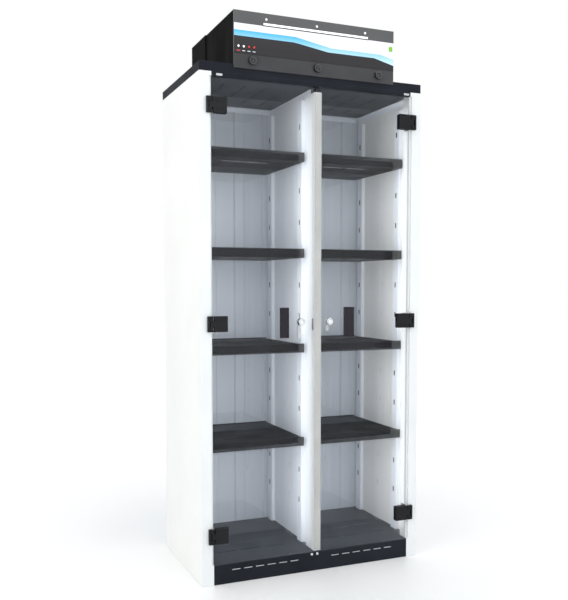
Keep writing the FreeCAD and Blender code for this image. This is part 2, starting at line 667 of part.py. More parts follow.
def shelf(side, number, name):
    """A folded shelf of box section with a raised rim at its front and rear."""
    depth = back_face - S["shelf_front"]
    height = S["shelf_height"]
    deck = height - S["shelf_rim"]
    (low_face, low_way), (high_face, high_way) = bay_faces(side)
    width = high_face - low_face - S["shelf_end_gap"] * 2
    body = free_body(name, low_face + S["shelf_end_gap"], S["shelf_front"], shelf_base(number))
    made.append(body)
    sketch = new_sketch(body, "YZ_Plane")
    polygon(sketch, ((ZERO, ZERO), (depth, ZERO), (depth, height), (depth - gauge, height),
                     (depth - gauge, deck), (gauge, deck), (gauge, height), (ZERO, height)))
    rectangle(sketch, gauge, gauge, depth - gauge, deck - gauge)
    fold = pad(body, sketch, width)
    bevel(body, fold, S["shelf_edge_bevel"],
          lambda c, t: abs(t.x) > abs(t.y) + abs(t.z) and near(c.z, 0) and near(c.y, 0))
    count = whole("shelf_slot_count")
    run = S["shelf_slot_pitch"] * (count - 1) + S["shelf_slot_length"]
    start = (width - run) / 2
    if side > 0:
        start = start + S["right_slot_shift"]
    slot = new_sketch(body, "XY_Plane")
    rectangle(slot, start, S["shelf_slot_setback"], start + S["shelf_slot_length"],
              S["shelf_slot_setback"] + S["shelf_slot_width"])
    row_of(body, cut_through(body, slot), "X_Axis", S["shelf_slot_pitch"], count)


def shelf_clips():
    """Clips that hook through the standards' slots and carry the shelves on a ledge."""
    drop = S["shelf_drop"] - S["hook_slot_height"] / 2
    tongue_top = drop + S["hook_slot_height"] - S["clip_gap"]
    wide = S["hook_slot_width"] - S["clip_gap"] * 2
    clips = []
    for side, word in SIDES:
        for number in range(whole("shelf_count")):
            for spot, front, slot_place in standard_rows():
                for face, way in bay_faces(side):
                    clip = free_body(f"{word}_clip", face, front + slot_place - wide / 2,
                                     shelf_base(number))
                    sketch = new_sketch(clip, "XZ_Plane")
                    mirrored(sketch, way, (
                        (-S["clip_reach"], -S["clip_thickness"]), (ZERO, -S["clip_thickness"]),
                        (ZERO, drop), (S["clip_tongue"], drop), (S["clip_tongue"], tongue_top),
                        (-S["clip_web"], tongue_top), (-S["clip_web"], ZERO),
                        (-S["clip_reach"], ZERO)))
                    pad(clip, sketch, wide, backwards=True)
                    clips.append(clip)
    group("shelf_clips", clips)


# Doors

def hinge_levels():
    return (S["hinge_low_level"], S["hinge_mid_level"], hinge_high_level)


hinge_x = half_width - S["hinge_axis_inset"]
hinge_y = -S["hinge_axis_front"]
hinge_face = hinge_y - S["hinge_barrel_radius"]
hinge_far = half_width - S["hinge_outer"] - S["hinge_width"]
glass_edge = rebate_half - S["glass_edge_gap"]
notch_edge = glass_edge - S["hinge_notch_depth"]


def door_glass(side, name):
    """A pane with a notch at each hinge and a hole for the lock."""
    clear = S["fitting_clearance"]
    body = new_body(name)
    sketch = new_sketch(body, "XZ_Plane")
    low = S["glass_seam"] / 2
    cut = S["glass_corner_bevel"]
    foot = S["glass_foot"]
    head = glass_head
    edge = [(low, head), (low, foot), (glass_edge - cut, foot), (glass_edge, foot + cut)]
    for level in hinge_levels():
        reach = S["hinge_notch_height"] / 2
        edge += [(glass_edge, level - reach), (notch_edge, level - reach),
                 (notch_edge, level + reach), (glass_edge, level + reach)]
    edge += [(glass_edge, head - cut), (glass_edge - cut, head)]
    mirrored(sketch, side, edge)
    circle(sketch, S["lock_place"] * side, S["lock_level"], S["lock_barrel_radius"] + clear)
    pad(body, sketch, S["glass_thickness"], backwards=True)


def knuckle_outline(side):
    """A square knuckle with bevelled corners about a hinge's axis."""
    reach = S["hinge_barrel_radius"]
    cut = reach / 2
    corners = ((reach, -cut), (reach, cut), (cut, reach), (-cut, reach), (-reach, cut),
               (-reach, -cut), (-cut, -reach), (cut, -reach))
    return [((hinge_x + u) * side, hinge_y + v) for u, v in corners]


def relief_outline():
    """The room that each leaf leaves round the other leaf's knuckles."""
    low = hinge_x - S["hinge_relief"]
    high = hinge_x + S["hinge_relief"]
    fore = hinge_face - S["cut_overrun"]
    rear = S["cut_overrun"]
    return ((high, rear), (low, rear), (low, fore), (high, fore))


def hinge_frame_leaf(side, level, name):
    """The fixed leaf: a block on the upright's face with an upper and a lower knuckle."""
    half = S["hinge_height"] / 2
    meet = half - S["hinge_knuckle_height"]
    outer = half_width - S["hinge_outer"]
    split = hinge_x + S["hinge_split"]
    body = free_body(name, ZERO, ZERO, level)
    block = new_sketch(body, "XY_Plane", -half)
    mirrored(block, side, ((outer, ZERO), (split, ZERO), (split, hinge_face), (outer, hinge_face)))
    pad(body, block, half * 2)
    relief = new_sketch(body, "XY_Plane", -meet)
    mirrored(relief, side, relief_outline())
    cut_to(body, relief, meet * 2, backwards=True)
    for low in (-half, meet):
        knuckle = new_sketch(body, "XY_Plane", low)
        polygon(knuckle, knuckle_outline(side))
        pad(body, knuckle, half - meet)
    return body


def hinge_glass_leaf(side, level, name):
    """The moving leaf: a plate before the glass, a boss in its notch and the middle knuckle."""
    half = S["hinge_height"] / 2
    meet = half - S["hinge_knuckle_height"]
    end = meet - S["hinge_knuckle_gap"]
    near_edge = hinge_x - S["hinge_moving_edge"]
    clear = S["fitting_clearance"]
    body = free_body(name, ZERO, ZERO, level)
    plate = new_sketch(body, "XY_Plane", -half)
    mirrored(plate, side, ((near_edge, ZERO), (hinge_far, ZERO), (hinge_far, hinge_face),
                           (near_edge, hinge_face)))
    leaf = pad(body, plate, half * 2)
    bevel(body, leaf, S["hinge_edge_bevel"],
          lambda c, t: near(c.y, hinge_face) and near(abs(c.x), hinge_far))
    for low in (-half - S["cut_overrun"], end):
        relief = new_sketch(body, "XY_Plane", low)
        mirrored(relief, side, relief_outline())
        cut_to(body, relief, half + S["cut_overrun"] - end, backwards=True)
    knuckle = new_sketch(body, "XY_Plane", -end)
    polygon(knuckle, knuckle_outline(side))
    pad(body, knuckle, end * 2)
    bore = new_sketch(body, "XY_Plane")
    circle(bore, hinge_x * side, hinge_y, S["hinge_pin_radius"] + S["hinge_pin_clearance"])
    cut_through(body, bore)
    boss = new_sketch(body, "XZ_Plane")
    reach = S["hinge_notch_height"] / 2 - clear
    mirrored(boss, side, ((glass_edge - S["hinge_edge_bevel"], -reach), (notch_edge + clear, -reach),
                          (notch_edge + clear, reach), (glass_edge - S["hinge_edge_bevel"], reach)))
    pad(body, boss, S["glass_thickness"], backwards=True)
    return body


def hinge_pin(side, level, name):
    """A pin that is pressed into the fixed leaf's knuckles and runs in the moving one."""
    half = S["hinge_height"] / 2
    pin = free_body(name, hinge_x * side, hinge_y, level)
    sketch = new_sketch(pin, "XY_Plane", -half)
    circle(sketch, ZERO, ZERO, S["hinge_pin_radius"])
    pad(pin, sketch, half * 2 + S["hinge_pin_head"])
    return pin


def hinge_clamp_plate(side, level, name):
    """The plate behind the glass that the moving leaf's screws draw up."""
    far = hinge_far
    near_edge = half_width - S["clamp_edge"]
    front = S["glass_thickness"]
    half = S["hinge_height"] / 2
    return block_at(name, (side_low(side, far, near_edge), front, level - half),
                    (side_high(side, far, near_edge), front + S["clamp_thickness"], level + half))


def hinge_bracket(side, level, name):
    """The stiffener on the upright's inner flank, behind a hinge."""
    inner = opening_half - S["bracket_thickness"]
    front = S["rebate_depth"]
    half = S["hinge_height"] / 2
    return block_at(name, (side_low(side, inner, opening_half), front, level - half),
                    (side_high(side, inner, opening_half), front + S["bracket_depth"], level + half))


def hinges():
    fixed = (("hinge_frame_leaves", hinge_frame_leaf), ("hinge_pins", hinge_pin),
             ("hinge_brackets", hinge_bracket))
    moving = (("hinge_leaves", hinge_glass_leaf), ("hinge_clamps", hinge_clamp_plate))
    for name, maker in fixed:
        group(name, [maker(side, level, f"{word}_{name}_piece") for side, word in SIDES
                     for level in hinge_levels()])
    for side, word in SIDES:
        for name, maker in moving:
            group(f"{word}_{name}", [maker(side, level, f"{word}_{name}_piece")
                                     for level in hinge_levels()])


def door_handle(side, name):
    """A C-shaped pull: a foot bonded to the glass, a web by the seam and a grip with a lip."""
    wall = S["handle_wall"]
    root = S["handle_near"]
    tip = root + S["handle_width"]
    front = -S["handle_depth"]
    lip = front + S["handle_lip"]
    body = new_body(name, z=S["handle_level"] - S["handle_height"] / 2)
    sketch = new_sketch(body, "XY_Plane")
    mirrored(sketch, side, ((root, ZERO), (root + S["handle_foot_width"], ZERO),
                            (root + S["handle_foot_width"], -wall), (root + wall, -wall),
                            (root + wall, front + wall), (tip - wall, front + wall),
                            (tip - wall, lip), (tip, lip), (tip, front), (root, front)))
    pull = pad(body, sketch, S["handle_height"])
    bevel(body, pull, S["handle_edge_bevel"],
          lambda c, t: abs(t.z) > abs(t.x) + abs(t.y) and near(c.y, front))


def lock_body(side, name):
    """The lock's housing: a round flange before the glass, a hexagonal barrel and its nut behind."""
    front = -S["lock_flange"]
    body = new_body(name, x=S["lock_place"] * side, z=S["lock_level"])
    flange = new_sketch(body, "XZ_Plane", front)
    circle(flange, ZERO, ZERO, S["lock_flange_radius"])
    pad(body, flange, S["lock_flange"], backwards=True)
    barrel = new_sketch(body, "XZ_Plane")
    hexagon(barrel, S["lock_barrel_radius"])
    pad(body, barrel, S["cam_front"] - S["cam_gap"], backwards=True)
    nut = new_sketch(body, "XZ_Plane", S["glass_thickness"])
    hexagon(nut, S["lock_nut_radius"])
    pad(body, nut, S["lock_nut"], backwards=True)
    bore = new_sketch(body, "XZ_Plane")
    circle(bore, ZERO, ZERO, S["lock_plug_radius"] + S["lock_clearance"])
    cut_through(body, bore)


def lock_plug(side, name):
    """The turning cylinder with its keyway."""
    front = -S["lock_flange"]
    body = new_body(name, x=S["lock_place"] * side, z=S["lock_level"])
    sketch = new_sketch(body, "XZ_Plane", front)
    circle(sketch, ZERO, ZERO, S["lock_plug_radius"])
    pad(body, sketch, S["cam_front"] - front, backwards=True)
    keyway = new_sketch(body, "XZ_Plane", front)
    rectangle(keyway, -S["keyway_width"] / 2, -S["keyway_height"] / 2, S["keyway_width"] / 2,
              S["keyway_height"] / 2)
    cut_to(body, keyway, S["keyway_depth"])


def lock_cam(side, name):
    """The flat cam that hangs down when unlocked and turns into the post to lock."""
    half = S["cam_width"] / 2
    flank = post_high if side > 0 else post_low
    reach = (S["lock_place"] - flank * side) + S["cam_bite"]
    body = new_body(name, x=S["lock_place"] * side, z=S["lock_level"])
    sketch = new_sketch(body, "XZ_Plane", S["cam_front"])
    polygon(sketch, ((-half, half), (-half, -reach + half), (-half / 2, -reach), (half / 2, -reach),
                     (half, -reach + half), (half, half)))
    pad(body, sketch, S["cam_thickness"], backwards=True)


def doors():
    for side, word in SIDES:
        door_glass(side, f"{word}_door_glass")
        door_handle(side, f"{word}_handle")
        lock_body(side, f"{word}_lock_body")
        lock_plug(side, f"{word}_lock_plug")
        lock_cam(side, f"{word}_lock_cam")


# Filter module

def filter_casing():
    """A folded cover open to the front and rear, with a slotted latch bar across its foot."""
    skin = S["module_gauge"]
    height = S["module_height"]
    flange = module_half - S["casing_flange"]
    body = new_body("filter_casing", z=slab_top)
    sketch = new_sketch(body, "XZ_Plane")
    polygon(sketch, ((-module_half, ZERO), (-flange, ZERO), (-flange, skin),
                     (-module_half + skin, skin), (-module_half + skin, height - skin),
                     (module_half - skin, height - skin), (module_half - skin, skin), (flange, skin),
                     (flange, ZERO), (module_half, ZERO), (module_half, height),
                     (-module_half, height)))
    pad(body, sketch, module_depth, backwards=True)
    bar = new_sketch(body, "XZ_Plane")
    inside = module_half - skin
    rectangle(bar, -inside, ZERO, inside, S["latch_bar_height"])
    pad(body, bar, skin, backwards=True)
    slots = new_sketch(body, "XZ_Plane")
    middle = knob_level - slab_top
    for place in (-1, 0, 1):
        centre = S["knob_spacing"] * place
        rectangle(slots, centre - S["latch_slot_width"] / 2, middle - S["latch_slot_height"] / 2,
                  centre + S["latch_slot_width"] / 2, middle + S["latch_slot_height"] / 2)
    cut_to(body, slots, skin + S["cut_overrun"])


def fan_hood():
    """The rear cover, slightly larger, with the exhaust grille and the power inlet's opening."""
    gap = S["seat_gap"]
    skin = S["hood_growth"] - gap
    outer = module_half + S["hood_growth"]
    inner = module_half + gap
    height = hood_top - slab_top
    front = hood_front
    rear = S["cabinet_depth"]
    body = new_body("fan_hood", z=slab_top)
    sketch = new_sketch(body, "XY_Plane")
    rectangle(sketch, -outer, front, outer, rear)
    block = pad(body, sketch, height)
    bevel(body, block, S["panel_edge_bevel"],
          lambda c, t: near(c.z, height) or (abs(t.z) > abs(t.x) + abs(t.y) and near(c.y, rear)))
    hollow = new_sketch(body, "XY_Plane")
    rectangle(hollow, -inner, front - S["cut_overrun"], inner, rear - skin)
    cut_to(body, hollow, height - skin, backwards=True)
    grille = new_sketch(body, "XY_Plane", height)
    count = whole("grille_slot_count")
    start = -S["grille_slot_pitch"] * (count - 1) / 2 - S["grille_slot_width"] / 2
    low = fan_place - S["grille_slot_length"] / 2
    rectangle(grille, start, low, start + S["grille_slot_width"], low + S["grille_slot_length"])
    row_of(body, cut_to(body, grille, skin + S["cut_overrun"]), "X_Axis", S["grille_slot_pitch"], count)
    port = new_sketch(body, "XZ_Plane", rear)
    level = inlet_level - slab_top
    half_wide = S["inlet_width"] / 2 + gap
    half_tall = S["inlet_height"] / 2 + gap
    rectangle(port, S["inlet_place"] - half_wide, level - half_tall, S["inlet_place"] + half_wide,
              level + half_tall)
    cut_to(body, port, skin + S["cut_overrun"], backwards=True)


def front_tray(name, foot, head):
    """A shallow folded tray across the module's front, open behind."""
    body = new_body(name, z=foot)
    sketch = new_sketch(body, "XZ_Plane", panel_front)
    rectangle(sketch, -module_half, ZERO, module_half, head - foot)
    rear = -S["seat_gap"]
    block = pad(body, sketch, rear - panel_front, backwards=True)
    bevel(body, block, S["panel_edge_bevel"], lambda c, t: near(c.y, panel_front))
    hollow = new_sketch(body, "XZ_Plane", panel_back)
    wall = S["panel_gauge"]
    rectangle(hollow, -module_half + wall, wall, module_half - wall, head - foot - wall)
    cut_to(body, hollow, rear - panel_back + S["cut_overrun"])
    return body


def control_panel():
    """The upper front tray, pierced for the light bar, the lamps and the power button."""
    gap = S["seat_gap"]
    foot = panel_foot
    body = front_tray("control_panel", foot, module_top)
    holes = new_sketch(body, "XZ_Plane", panel_front)
    half = S["bar_length"] / 2 + gap
    reach = S["bar_height"] / 2 + gap
    rectangle(holes, -half, bar_level - foot - reach, half, bar_level - foot + reach)
    for k in range(whole("lamp_count")):
        square(holes, -S["lamp_start"] + S["lamp_pitch"] * k, lamp_level - foot,
               S["lamp_size"] + gap * 2)
    wide = S["button_width"] / 2 + S["button_clearance"]
    tall = S["button_height"] / 2 + S["button_clearance"]
    level = button_level - foot
    rectangle(holes, S["button_place"] - wide, level - tall, S["button_place"] + wide, level + tall)
    cut_to(body, holes, S["panel_gauge"] + S["cut_overrun"])


def filter_cover():
    """The lower front tray that lifts away from the filters once its knobs are turned."""
    foot = cover_foot
    body = front_tray("filter_cover", foot, panel_foot - S["panel_joint"])
    holes = new_sketch(body, "XZ_Plane", panel_front)
    for place in (-1, 0, 1):
        square(holes, S["knob_spacing"] * place, knob_level - foot,
               (S["knob_shaft_radius"] + S["knob_clearance"]) * 2)
    cut_to(body, holes, S["panel_gauge"] + S["cut_overrun"])


def cover_knob(place, name):
    """A fluted knob, its shaft through the cover and the latch that turns behind the bar."""
    reach = S["panel_reach"] + S["module_gauge"] + S["latch_gap"] + S["latch_thickness"]
    body = free_body(name, S["knob_spacing"] * place, panel_front, knob_level)
    made.append(body)
    crown = new_sketch(body, "XZ_Plane", -S["knob_gap"])
    facets(crown, S["knob_radius"], whole("knob_side_count"))
    pad(body, crown, S["knob_height"])
    stem = new_sketch(body, "XZ_Plane", -S["knob_gap"])
    circle(stem, ZERO, ZERO, S["knob_shaft_radius"])
    pad(body, stem, S["knob_gap"] + reach, backwards=True)
    tab = new_sketch(body, "XZ_Plane", reach - S["latch_thickness"])
    half = S["latch_length"] / 2
    wide = S["latch_width"] / 2
    rectangle(tab, -half, -wide, half, wide)
    pad(body, tab, S["latch_thickness"], backwards=True)


def light_bar():
    """The white strip set in the panel, with a flange behind that keeps it there."""
    half = S["bar_length"] / 2
    reach = S["bar_height"] / 2
    rim = S["panel_gauge"]
    body = new_body("light_bar", z=bar_level)
    sketch = new_sketch(body, "XZ_Plane", panel_front - S["bar_proud"])
    rectangle(sketch, -half, -reach, half, reach)
    pad(body, sketch, S["bar_proud"] + S["panel_gauge"], backwards=True)
    flange = new_sketch(body, "XZ_Plane", panel_back)
    rectangle(flange, -half - rim, -reach - rim, half + rim, reach + rim)
    pad(body, flange, rim, backwards=True)


def lamps():
    """Square lenses, each kept behind the panel by a flange."""
    pieces = []
    lens = S["lamp_size"]
    for k in range(whole("lamp_count")):
        lamp = free_body("lamp", -S["lamp_start"] + S["lamp_pitch"] * k, panel_front, lamp_level)
        sketch = new_sketch(lamp, "XZ_Plane", -S["lamp_proud"])
        square(sketch, ZERO, ZERO, lens)
        pad(lamp, sketch, S["lamp_proud"] + S["panel_gauge"], backwards=True)
        flange = new_sketch(lamp, "XZ_Plane", S["panel_gauge"])
        square(flange, ZERO, ZERO, lens + S["panel_gauge"] * 2)
        pad(lamp, flange, S["panel_gauge"], backwards=True)
        pieces.append(lamp)
    group("indicator_lamps", pieces)


def power_button():
    """The push cap, kept behind the panel by a lip."""
    wide = S["button_width"] / 2
    tall = S["button_height"] / 2
    lip = S["button_lip"]
    front = panel_front - S["button_proud"]
    seat = panel_back + S["seat_gap"]
    body = new_body("power_button", x=S["button_place"], z=button_level)
    sketch = new_sketch(body, "XZ_Plane", front)
    rectangle(sketch, -wide, -tall, wide, tall)
    cap = pad(body, sketch, seat - front, backwards=True)
    bevel(body, cap, S["button_lip"], lambda c, t: abs(t.y) > abs(t.x) + abs(t.z))
    flange = new_sketch(body, "XZ_Plane", seat)
    rectangle(flange, -wide - lip, -tall - lip, wide + lip, tall + lip)
    pad(body, flange, S["button_flange"], backwards=True)


def control_board():
    """The circuit board behind the panel, on four posts, with the button's switch."""
    high = S["board_edge"]
    low = high - S["board_width"]
    foot = board_foot
    head = foot + S["board_height"]
    face = S["board_front"]
    inset = S["board_post_inset"]
    body = new_body("control_board")
    sketch = new_sketch(body, "XZ_Plane", face)
    rectangle(sketch, low, foot, high, head)
    pad(body, sketch, S["board_thickness"], backwards=True)
    posts = new_sketch(body, "XZ_Plane", panel_back)
    for u in (low + inset, high - inset * 2):
        for v in (foot + inset, head - inset):
            square(posts, u, v, S["board_post_size"])
    pad(body, posts, face - panel_back, backwards=True)
    half = S["switch_size"] / 2
    front = panel_back + S["seat_gap"] + S["button_flange"] + S["button_travel"] + S["switch_gap"]
    switch = new_sketch(body, "XZ_Plane", front)
    rectangle(switch, S["button_place"] - half, button_level - half, S["button_place"] + half,
              button_level + half)
    pad(body, switch, face - front, backwards=True)


def filters():
    """The flat prefilter over the mouth and the deep carbon filter above it."""
    half = S["filter_half_width"]
    front = S["filter_front"]
    rear = filter_rear
    mat = new_body("prefilter", z=slab_top)
    sketch = new_sketch(mat, "XY_Plane")
    rectangle(sketch, -half, front, half, rear)
    pad(mat, sketch, S["prefilter_height"])
    block = new_body("carbon_filter", z=slab_top + S["prefilter_height"])
    sketch = new_sketch(block, "XY_Plane")
    rectangle(sketch, -half, front, half, rear)
    pad(block, sketch, S["filter_height"])
    cell = new_sketch(block, "XY_Plane")
    pitch = S["filter_cell_pitch"]
    count = whole("filter_cell_count")
    low = -pitch * (count - 1) / 2 - S["filter_cell_width"] / 2
    rectangle(cell, low, front + S["filter_frame"], low + S["filter_cell_width"],
              rear - S["filter_frame"])
    row_of(block, cut_through(block, cell), "X_Axis", pitch, count)


def fan_foot():
    return module_top + S["seat_gap"] - S["fan_height"]


def fan_housing():
    """The fan's frame with its many-sided bore, and the motor that three struts hold."""
    body = free_body("fan_housing", ZERO, fan_place, fan_foot())
    made.append(body)
    sketch = new_sketch(body, "XY_Plane")
    wide = S["fan_width"] / 2
    deep = S["fan_depth"] / 2
    rectangle(sketch, -wide, -deep, wide, deep)
    facets(sketch, S["fan_bore"], whole("fan_side_count"))
    frame = pad(body, sketch, S["fan_height"])
    bevel(body, frame, S["fan_corner_bevel"],
          lambda c, t: abs(t.z) > abs(t.x) + abs(t.y) and near(abs(c.x), wide))
    motor = new_sketch(body, "XY_Plane")
    hexagon(motor, S["motor_radius"])
    pad(body, motor, S["motor_height"])
    strut = new_sketch(body, "XY_Plane")
    half = S["fan_strut_width"] / 2
    rectangle(strut, S["motor_radius"] - half, -half, S["fan_bore"] + half / 2, half)
    ring_of(body, pad(body, strut, S["fan_base"]), whole("fan_strut_count"))
    bore = new_sketch(body, "XY_Plane")
    circle(bore, ZERO, ZERO, S["shaft_radius"] + S["shaft_clearance"])
    cut_through(body, bore)


def fan_rotor():
    """The fan wheel: a hub, a shaft in the motor's bore and pitched blades that widen outwards."""
    body = free_body("fan_rotor", ZERO, fan_place, fan_foot())
    made.append(body)
    low = S["motor_height"] + S["hub_gap"]
    hub = new_sketch(body, "XY_Plane", low)
    facets(hub, S["hub_radius"], whole("fan_side_count"))
    pad(body, hub, S["hub_height"])
    shaft = new_sketch(body, "XY_Plane")
    circle(shaft, ZERO, ZERO, S["shaft_radius"])
    pad(body, shaft, low)
    blade = new_sketch(body, "XY_Plane", low + S["hub_height"] / 2)
    pitched = FreeCAD.Vector(0, S["blade_run"].value, S["blade_rise"].value)
    blade.AttachmentOffset = FreeCAD.Placement(blade.AttachmentOffset.Base,
                                               FreeCAD.Rotation(FreeCAD.Vector(0, 1, 0), pitched))
    root = S["blade_root_chord"] / 2
    tip = S["blade_tip_chord"] / 2
    polygon(blade, ((S["blade_root"], -root), (S["blade_tip"], -tip), (S["blade_tip"], tip),
                    (S["blade_root"], root)))
    ring_of(body, pad(body, blade, S["blade_thickness"]), whole("blade_count"))


def power_inlet():
    """The socket on the hood's rear face, with its flange outside and three prongs within."""
    rear = S["cabinet_depth"]
    rim = S["inlet_rim"]
    wide = S["inlet_width"] / 2
    tall = S["inlet_height"] / 2
    body = new_body("power_inlet", x=S["inlet_place"], z=inlet_level)
    flange = new_sketch(body, "XZ_Plane", rear)
    rectangle(flange, -wide - rim, -tall - rim / 2, wide + rim, tall + rim / 2)
    pad(body, flange, S["inlet_flange"], backwards=True)
    shell = new_sketch(body, "XZ_Plane", rear)
    rectangle(shell, -wide, -tall, wide, tall)
    pad(body, shell, S["inlet_depth"])
    socket = new_sketch(body, "XZ_Plane", rear + S["inlet_flange"])
    half_wide = S["socket_width"] / 2
    half_tall = S["socket_height"] / 2
    rectangle(socket, -half_wide, -half_tall, half_wide, half_tall)
    cut_to(body, socket, S["socket_depth"], backwards=True)
    prongs = new_sketch(body, "XZ_Plane", rear + S["inlet_flange"] - S["socket_depth"])
    for place in (-1, 0, 1):
        centre = S["prong_spread"] * place
        rectangle(prongs, centre - S["prong_width"] / 2, -S["prong_height"] / 2,
                  centre + S["prong_width"] / 2, S["prong_height"] / 2)
    pad(body, prongs, S["socket_depth"] * 2 / 3, backwards=True)


# The whole cabinet

for side, word in SIDES:
    side_panel(side, f"{word}_side_panel")
    front_upright(side, f"{word}_upright")
back_panel()
centre_post()
partition_panel()
standards()
top_slab()
channel("header_rail", S["header_depth"], header_foot, S["carcass_height"])
plinth_panel()
floor_tray()
levelling_feet()
ceiling_panel()
ceiling_rails()
stop_studs()
door_catch()
for side, word in SIDES:
    for number in range(whole("shelf_count")):
        shelf(side, number, f"{word}_shelf_{number + 1}")
shelf_clips()
hinges()
doors()
filter_casing()
fan_hood()
control_panel()
filter_cover()
for place, word in ((-1, "left"), (0, "centre"), (1, "right")):
    cover_knob(place, f"{word}_cover_knob")
light_bar()
lamps()
power_button()
control_board()
filters()
fan_housing()
fan_rotor()
power_inlet()
doc.recompute()

for item in doc.Objects:
    if "Invalid" in item.State or "Error" in item.State:
        raise RuntimeError(f"{item.Label} did not recompute")
for item in made:
    shape = item.Shape
    if shape.isNull() or not shape.isValid() or not shape.Solids:
        raise RuntimeError(f"{item.Label} has no valid solid")
    shape.exportStep(f"parts/{item.Label}.step")
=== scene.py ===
import math

import bmesh
import bpy
from mathutils import Euler, Matrix, Vector


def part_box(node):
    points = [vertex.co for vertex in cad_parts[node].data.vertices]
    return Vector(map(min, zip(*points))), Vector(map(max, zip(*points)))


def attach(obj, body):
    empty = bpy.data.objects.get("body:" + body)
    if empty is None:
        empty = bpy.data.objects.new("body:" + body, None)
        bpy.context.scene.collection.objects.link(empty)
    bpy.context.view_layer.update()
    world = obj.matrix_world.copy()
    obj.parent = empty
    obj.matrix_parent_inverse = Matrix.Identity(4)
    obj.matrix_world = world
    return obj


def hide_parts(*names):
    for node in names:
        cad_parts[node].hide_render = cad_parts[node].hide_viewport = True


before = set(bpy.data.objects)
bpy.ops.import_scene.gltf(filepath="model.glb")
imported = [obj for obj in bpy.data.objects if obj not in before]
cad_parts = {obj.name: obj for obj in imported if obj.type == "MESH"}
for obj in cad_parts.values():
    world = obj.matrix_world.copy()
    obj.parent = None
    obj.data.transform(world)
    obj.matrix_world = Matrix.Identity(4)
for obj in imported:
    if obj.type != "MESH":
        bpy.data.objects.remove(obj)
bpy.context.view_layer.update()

MM = 0.001
SIDES = (("left", -1), ("right", 1))
KNOBS = ("left", "centre", "right")
FRONT = round(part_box("left_upright")[0][1] / MM, 3)  # the front plane of the carcass in the frame


# Places, in millimetres from the cabinet's middle, its front plane and the floor

def place(x, y, z):
    """The point in the frame, in metres."""
    return Vector((x * MM, (y + FRONT) * MM, z * MM))


def box(node):
    """The low and the high corner of a node of the frame."""
    return [(round(x / MM, 3), round(y / MM - FRONT, 3), round(z / MM, 3)) for x, y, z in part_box(node)]


def middle(node):
    """The middle of a node of the frame."""
    return [(low + high) / 2 for low, high in zip(*box(node))]


def around(value, reach):
    """The ends of a span that reaches as far to both sides of a value."""
    return value - reach, value + reach


# Camera, solved from the photograph

def add_camera():
    data = bpy.data.cameras.new("camera")
    data.lens = 47.93
    data.sensor_width = 36
    data.shift_y = 0.0593
    data.clip_start = 0.05
    camera = bpy.data.objects.new("camera", data)
    camera.location = (-1.1329, -2.6352, 0.9714)
    camera.rotation_euler = Euler((math.radians(86.371), 0, math.radians(-22.824)), "XYZ")
    bpy.context.scene.collection.objects.link(camera)
    bpy.context.scene.camera = camera
    bpy.context.scene.view_settings.view_transform = "Standard"


# Light

def softbox(name, origin, target, size, power, colour=(1, 1, 1)):
    """A rectangular lamp that faces its target; places and sizes in metres, power in watts."""
    data = bpy.data.lights.new(name, "AREA")
    data.shape = "RECTANGLE"
    data.size, data.size_y = size
    data.energy = power
    data.color = colour
    lamp = bpy.data.objects.new(name, data)
    lamp.location = origin
    lamp.rotation_euler = (Vector(target) - Vector(origin)).to_track_quat("-Z", "Y").to_euler()
    bpy.context.scene.collection.objects.link(lamp)


def add_lamps():
    """Wide lamps in the studio, and small ones whose reflections spark on bright metal."""
    softbox("key_light", origin=(-3.4, -1.6, 2.3), target=(-0.3, 0, 0.9), size=(2.2, 2.6), power=44,
            colour=(1, 0.99, 0.97))
    softbox("front_light", origin=(0.9, -3.6, 1.6), target=(0, 0, 0.8), size=(2.4, 2.6), power=26,
            colour=(0.95, 0.98, 1))
    softbox("top_light", origin=(0.6, -0.6, 4.2), target=(0.1, 0.1, 1.2), size=(2.4, 2.0), power=16)
    softbox("high_spark", origin=(1.3, -2.7, 3.1), target=(0.1, -0.2, 1.6), size=(0.16, 0.16), power=4)
    softbox("low_spark", origin=(-2.1, -2.5, 1.0), target=(0, -0.2, 1.2), size=(0.12, 0.12), power=1.6)


def add_bay_fill():
    """A tall lamp behind the header of each bay that lights the shelves from the front."""
    level = 840
    target_depth = 416
    header_rear = box("header_rail")[1][1]
    for word, _ in SIDES:
        x = middle(f"{word}_shelf_1")[0]
        softbox("bay_fill", origin=place(x, header_rear, level), target=place(x, target_depth, level),
                size=(0.33, 1.48), power=2.1, colour=(0.95, 0.975, 1))


def add_world():
    """White to the eye, in mirrors and through glass, and a slightly blue, weaker light on surfaces."""
    world = bpy.data.worlds.new("studio")
    bpy.context.scene.world = world
    world.use_nodes = True
    nodes, links = world.node_tree.nodes, world.node_tree.links
    nodes.clear()
    rays = nodes.new("ShaderNodeLightPath").outputs
    seen = rays["Is Camera Ray"]
    for kind in ("Is Glossy Ray", "Is Transmission Ray"):
        either = nodes.new("ShaderNodeMath")
        either.operation = "MAXIMUM"
        links.new(seen, either.inputs[0])
        links.new(rays[kind], either.inputs[1])
        seen = either.outputs[0]
    mix = nodes.new("ShaderNodeMixShader")
    links.new(seen, mix.inputs["Fac"])
    for socket, colour, strength in ((1, (0.93, 0.965, 1, 1), 0.86), (2, (1, 1, 1, 1), 1)):
        background = nodes.new("ShaderNodeBackground")
        background.inputs["Color"].default_value = colour
        background.inputs["Strength"].default_value = strength
        links.new(background.outputs[0], mix.inputs[socket])
    output = nodes.new("ShaderNodeOutputWorld")
    links.new(mix.outputs[0], output.inputs["Surface"])


add_camera()
add_lamps()
add_bay_fill()
add_world()


# Materials; radii, depths and pitches in metres

FULL = (0, 1)
MIDST = (0.3, 0.7)  # the span that holds most values of a noise
EDGE_SPAN = (0.995, 0.8)  # cosines between the plain and the rounded normal


